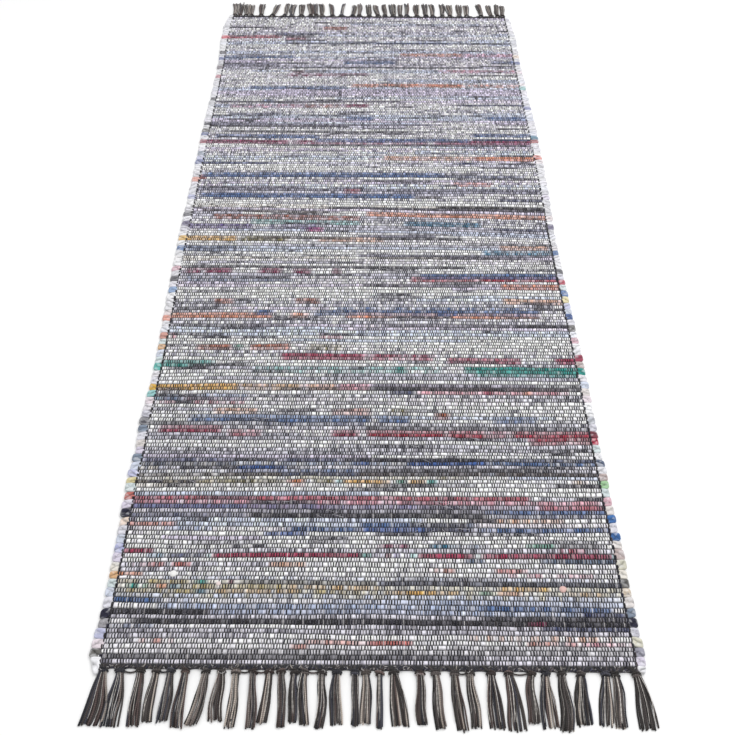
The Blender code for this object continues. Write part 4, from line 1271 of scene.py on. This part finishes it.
def gatheredWarp(name, end, knots, rng):
    # each warp yarn leaves the last rag row and is drawn over the band into its knot
    startX = edgeX[0 if end < 0 else rows]
    mine = np.abs(startX[:, None] - knots).argmin(1)
    steps = np.linspace(0, 1, 4)
    pulled = 0.75 * (knots[mine] - startX)
    x = startX[:, None] + pulled[:, None] * steps ** 1.4
    x = x + 0.8 * mm * rng.normal(0, 1, (ends, 4)) * np.sin(pi * steps)
    rowEdge = end * (edgeY[0 if end < 0 else rows] + weave["slant"] * startX) - faceAt
    out = rowEdge[:, None] + (1.0 * mm - rowEdge[:, None]) * steps
    high = np.array([3.9, 5.4, 5.5, 4.2]) * mm + 0.4 * mm * rng.normal(0, 1, (ends, 1))
    radii = np.tile(0.8 * mm * np.array([0.8, 1, 1, 0.8]), (ends, 1))
    tones = pickedTones(yarnTones, rng, ends) * rng.uniform(0.35, 1.3, (ends, 1))
    tones[natural[0] & (rng.random(ends) < 0.10)] = linearColour(heading["gatheredTone"])
    return yarnPiece(name, outward(end, x, out, high), radii, 4, tones, 5, 28)


tassel = {
    "yarns": 12,
    "radius": 1.16 * mm,
    "headWidth": 7.6 * mm,
    "fullAt": 0.8,  # share of its length at which a tassel has filled out
    "bow": 2.4 * mm,
    "shortest": 74.5 * mm,
    "longest": 85.0 * mm,
    "ragged": 1.1 * mm,  # difference in length within a tassel
    "farShorter": 7.5 * mm,
    "farRagged": 3.2 * mm,
    "farPaler": 1.40,  # the far fringe's yarns are this much paler
    "sway": 1.3 * mm,
    "naturalShare": 0.06,
    "upperShade": 1.12,
    "lowerShade": 0.45,  # every second yarn lies lower, in shade
    "mixed": 0.4,  # yarns that stray from their lot's tone
    "threads": 3,  # thin pale threads that lie on each tassel
    "threadFrom": 4 * mm,  # out from the heading
    "threadRun": 70 * mm,
    "threadRadius": 0.46 * mm,
    "threadTone": "E4DED8",
    "naturalTone": "C4B8AE",
}
tasselTones = {  # colour and its share; a tassel has three lots of yarn, each of one tone
    "charcoal": ("3B3635", 0.42),
    "blueBlack": ("34343C", 0.20),
    "brown": ("493D3B", 0.24),
    "taupe": ("5A524F", 0.14),
}
knot = {
    "halfWidth": 6.6 * mm,
    "high": 5.4 * mm,
    "radius": 1.65 * mm,
    "wraps": (0.6, 3.2, 5.3),  # mm out from the heading
    "taper": 0.84,  # how wide the first and the last wrap are beside the middle one
    "shade": 0.60,
    "litWrapShare": 0.22,  # wraps with a painted highlight, where they catch the light
    "loopShare": 0.22,  # wide gaps that have a loop of yarn hanging across them
    "loopGap": 20 * mm,
    "curlShare": 0.45,  # knots with a pale curl of thread over them
}


def tasselKnots(name, end, knots, mainTones, rng):
    # three wraps over the head of each tassel, crossing at a slant
    steps = np.linspace(0, 1, 9)
    paths, radii, tones = [], [], []

    def lay(path, radius, tone):
        paths.append(path)
        radii.append(radius * np.ones(len(steps)))
        tones.append(tone)

    for place, main in zip(knots, mainTones):
        slope = rng.choice((-1, 1)) * rng.uniform(0.8, 2.2) * mm
        for out in knot["wraps"]:
            share = 1.0 if out == knot["wraps"][1] else knot["taper"]
            half = knot["halfWidth"] * rng.uniform(0.88, 1.10) * share
            high = knot["high"] * rng.uniform(0.85, 1.1)
            x = place - half * np.cos(pi * steps) + rng.uniform(-0.6, 0.6) * mm
            skewed = out * mm + slope * np.cos(pi * steps) + rng.uniform(-0.5, 0.5) * mm
            path = outward(end, x, skewed, 0.9 * mm + high * np.sin(pi * steps) ** 0.8)
            radius, tone = knot["radius"] * rng.uniform(0.85, 1.15), main * rng.uniform(0.6, 1.3)
            # painted highlight on the wraps that catch the light, painted shade on the others
            lay(path, radius, tone * (2.0 if rng.random() < knot["litWrapShare"] else knot["shade"]))
            slope = slope * rng.uniform(-1.2, 0.6)
    for near, far in zip(knots[:-1], knots[1:]):  # loops that hang across the wide gaps
        if rng.random() < knot["loopShare"] and far - near > knot["loopGap"]:
            deep = rng.uniform(2.0, 5.0) * mm
            for strand in (0, 1):
                x = near + 2 * mm + (far - near - 4 * mm) * steps
                out = 0.2 * mm + (deep + 1.1 * mm * strand) * np.sin(pi * steps) ** 0.8
                path = outward(end, x, out, 1.6 * mm + 0.8 * mm * strand)
                lay(path, rng.uniform(0.7, 0.9) * mm, pickedTones(tasselTones, rng) * rng.uniform(0.7, 1.2))
    for number, place in enumerate(knots):  # pale curls, most of them at the left
        for curl in range(3 if number < 3 else 1):
            if rng.random() < knot["curlShare"]:
                turnBy = rng.uniform(0.5, 1.1) * pi * rng.choice((-1, 1))
                facing = rng.uniform(0, 2 * pi)
                size = rng.uniform(1.8, 4.5) * mm
                x = place + rng.uniform(-4, 4) * mm + size * np.cos(facing + turnBy * steps)
                out = rng.uniform(-4, 5) * mm + size * np.sin(facing + turnBy * steps)
                high = np.interp(out, (0, 3 * mm), (5.9 * mm, 7.6 * mm)) + 0.5 * mm * np.sin(pi * steps)
                pale = linearColour(naturalTone)
                lay(outward(end, x, out, high), rng.uniform(0.35, 0.6) * mm, pale * rng.uniform(0.5, 1.1))
    for stray in range(heading["strays"]):
        facing = rng.uniform(0, 2 * pi)
        along = rng.uniform(1.5, 5.0) * mm * (steps - 0.5)
        bend = rng.uniform(-0.8, 0.8) * mm * np.sin(pi * steps)
        x = rng.uniform(-0.38, 0.38) + along * np.cos(facing) - bend * np.sin(facing)
        out = rng.uniform(-8, 1) * mm + along * np.sin(facing) + bend * np.cos(facing)
        path = outward(end, x, out, 6.0 * mm + 0.6 * mm * np.sin(pi * steps))
        lay(path, rng.uniform(0.28, 0.45) * mm, linearColour(naturalTone) * rng.uniform(0.35, 1.1))
    radii = np.array(radii)
    radii[:, [0, -1]] *= 0.6
    return yarnPiece(name, np.array(paths), radii, 5, np.array(tones), 6, 24)


def tasselShape(one, bow, steps):
    # how wide a tassel is and where its middle runs, at shares of its length
    spread = one.spread * mm
    neck = min(tassel["headWidth"], 0.7 * spread)
    width = neck + (spread - neck) * np.sin(0.5 * pi * np.clip(steps / tassel["fullAt"], 0, 1))
    bowed = tassel["bow"] * (bow[0] * np.sin(pi * steps) + 0.5 * bow[1] * np.sin(2 * pi * steps))
    return width, one.at * mm + one.lean * mm * steps ** 1.2 + bowed


def tasselYarns(name, end, table, bows, mainTones, rng):
    # a dozen yarns to a tassel, in two layers that sink to the floor where it fans out
    lengths = np.random.default_rng(14 + end).uniform(tassel["shortest"], tassel["longest"], len(table))
    ragged, paler = tassel["ragged"], 1.0
    if end > 0:
        lengths, ragged, paler = lengths - tassel["farShorter"], tassel["farRagged"], tassel["farPaler"]
    stations = 9 if end < 0 else 7
    steps = np.linspace(0, 1, stations)
    count = tassel["yarns"]
    paths, radii, tones = [], [], []
    for one, bow, length, main in zip(table, bows, lengths, mainTones):
        width, middle = tasselShape(one, bow, steps)
        lots = [main, pickedTones(tasselTones, rng), pickedTones(tasselTones, rng)]
        thick = np.clip(one.spread * mm / count / 2 * 1.3, tassel["radius"], 1.7 * mm)
        split = rng.uniform(0.25, 0.45), rng.uniform(0.55, 0.8)
        for k in range(count):
            place = (k + 0.5) / count - 0.5 + rng.normal(0, 0.04) * steps
            sway = tassel["sway"] * rng.uniform(0.3, 1)
            sway = sway * np.sin(steps * rng.uniform(4, 9) + rng.uniform(0, 6))
            x = middle + place * width + sway * np.clip(steps * 3, 0, 1) * (1.3 - steps)
            reach = length + ragged * rng.normal(0, 1) + 2.5 * mm * (rng.random() < 0.05)
            out = 1.0 * mm + (reach - 1.0 * mm) * steps
            onTop = 1.9 * mm * np.clip((2.3 * mm - width / count) / mm, 0, 1) * (k % 2)
            head = 1.2 * mm * np.clip(1 - steps * 7, 0, 1)
            paths.append(outward(end, x, out, thick + onTop + head))
            taper = np.ones(stations)
            taper[[0, -1]] = 0.8, 0.95
            radii.append(thick * rng.uniform(0.9, 1.1) * taper)
            lot = lots[(k / count > split[0]) + (k / count > split[1])]
            lot = pickedTones(tasselTones, rng) if rng.random() < tassel["mixed"] else lot
            undyed = rng.random() < tassel["naturalShare"]
            lot = paler * lot * rng.uniform(0.55, 1.7) * tassel["upperShade" if k % 2 else "lowerShade"]
            if undyed:
                lot = linearColour(tassel["naturalTone"]) * rng.uniform(0.55, 1)
            tones.append(lot)
    return yarnPiece(name, np.array(paths), np.array(radii), 5, np.array(tones), 26, 91)


def paleThreads(name, end, table, bows, rng):
    # thin undyed threads that run down over each tassel
    steps = np.linspace(0, 1, 8)
    paths, tones = [], []
    for one, bow in zip(table, bows):
        width, middle = tasselShape(one, bow, steps * 0.97)
        for k in range(tassel["threads"]):
            place = rng.uniform(-0.5, 0.5) + rng.uniform(-0.12, 0.12) * steps
            wave = 0.5 * mm * np.sin(steps * rng.uniform(4, 9) + rng.uniform(0, 6))
            high = np.interp(steps, (0, 0.12, 0.5, 1), (6.2, 5.6, 5.0, 2.9)) * mm
            out = tassel["threadFrom"] + tassel["threadRun"] * steps
            paths.append(outward(end, middle + place * width + wave, out, high))
            tones.append(linearColour(tassel["threadTone"]) * rng.uniform(0.25, 1.1))
    radii = np.full((len(paths), len(steps)), tassel["threadRadius"])
    return yarnPiece(name, np.array(paths), radii, 3, np.array(tones), 10, 20)


def knottedFringe(end, table, node):
    rng = np.random.default_rng(40 + end)
    label = "Near" if end < 0 else "Far"
    knots = np.array([one.at for one in table]) * mm
    mainTones = [pickedTones(tasselTones, rng) for one in table]
    bows = rng.uniform(-1, 1, (len(table), 2))
    made = [
        headingBand("headingBand" + label, end, knots, rng),
        gatheredWarp("gatheredWarp" + label, end, knots, rng),
        tasselKnots("tasselKnots" + label, end, knots, mainTones, rng),
        tasselYarns("tasselYarns" + label, end, table, bows, mainTones, rng),
        paleThreads("paleThreads" + label, end, table, bows, rng),
    ]
    for piece in made:
        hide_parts(node)


# small things caught in the weave: bobbles of rag, and loose white threads
Bobble = namedtuple("Bobble", "row x size rag")
bobbles = [  # x in cm, size in mm
    Bobble(18.2, -29.9, 11.5, "EEEDEB"),
    Bobble(16.0, -22.8, 7.5, "E6D6D4"),
    Bobble(15.5, 29.4, 11.0, "DDB9B2"),
]


def ragBobbles():
    rng = np.random.default_rng(36)
    around, over = 12, 8
    angle = np.linspace(0, 2 * pi, around, endpoint=False)[None, :]
    rise = np.linspace(-pi / 2, pi / 2, over)[:, None]
    points, tones = [], []
    for one in bobbles:
        y = np.interp(one.row, np.arange(rows + 1), edgeY[:, np.abs(columnX - one.x * cm).argmin()])
        half = one.size * mm / 2
        lump = half * (1 + 0.12 * softNoise((over, around), (2, 3), rng))
        x = one.x * cm + lump * np.cos(rise) * np.cos(angle)
        along = y + lump * np.cos(rise) * np.sin(angle)
        z = 6.0 * mm + 0.5 * lump * np.sin(rise) + 0 * angle
        points.append(np.stack([x, along, z], -1))
        tones.append(linearColour(one.rag))
    faces = repeatFaces(gridFaces(over, around, wrap=True), len(bobbles), over * around)
    colours = np.repeat(np.array(tones), faces.size // len(bobbles), 0)
    addPiece("ragBobbles", np.array(points), [faces], ragCotton, colours, {})


lint = {
    "threads": 330,
    "onDark": 0.75,  # share of them that lies on the dark rags
    "longest": 16 * mm,
    "radius": 0.26 * mm,
    "tone": "DCDAE0",
}


def lintThreads():
    # fine white threads that have worked loose, mostly seen on the dark rags
    rng = np.random.default_rng(37)
    steps = np.linspace(0, 1, 6)
    darkSpots = np.argwhere(darkRag > 0.5)
    paths, tones = [], []
    for k in range(lint["threads"]):
        row, column = rng.integers((4, 8), (rows - 4, ends - 8))
        if rng.random() < lint["onDark"]:
            row, column = darkSpots[int(len(darkSpots) * rng.random() ** 1.5)]
        facing = rng.uniform(-0.5, 0.5) if rng.random() < 0.7 else rng.uniform(-pi / 2, pi / 2)
        run = lint["longest"] * rng.uniform(0.3, 1.0) * steps
        bend = rng.uniform(-0.35, 0.35) * run * steps
        x = edgeX[row, column] + run * np.cos(facing) - bend * np.sin(facing)
        y = edgeY[row, column] + 4 * mm + run * np.sin(facing) + bend * np.cos(facing)
        paths.append(np.stack([x.clip(-0.38, 0.38), y, 6.5 * mm + 0.5 * mm * np.sin(pi * steps)], -1))
        tones.append(linearColour(lint["tone"]) * rng.uniform(0.45, 1.0))
    radii = np.full((len(paths), len(steps)), lint["radius"])
    yarnPiece("lintThreads", np.array(paths), radii, 3, np.array(tones), 4, 20)


ragTurns()
sideWarps()
print("sides made:", rows - 1, "rag turns")
weftTop()
print("rag rows made")
warpFloats()
print("warp made:", int(floats.sum()), "places where it shows")
sheet = clothBack()
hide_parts("woven_field")
knottedFringe(-1, nearTassels, "fringe_near")
knottedFringe(1, farTassels, "fringe_far")
print("headings and", len(nearTassels) + len(farTassels), "tassels made")
ragBobbles()
lintThreads()
for piece in pieces:
    piece.data.calc_loop_triangles()
print("triangles in all:", sum(len(piece.data.loop_triangles) for piece in pieces))
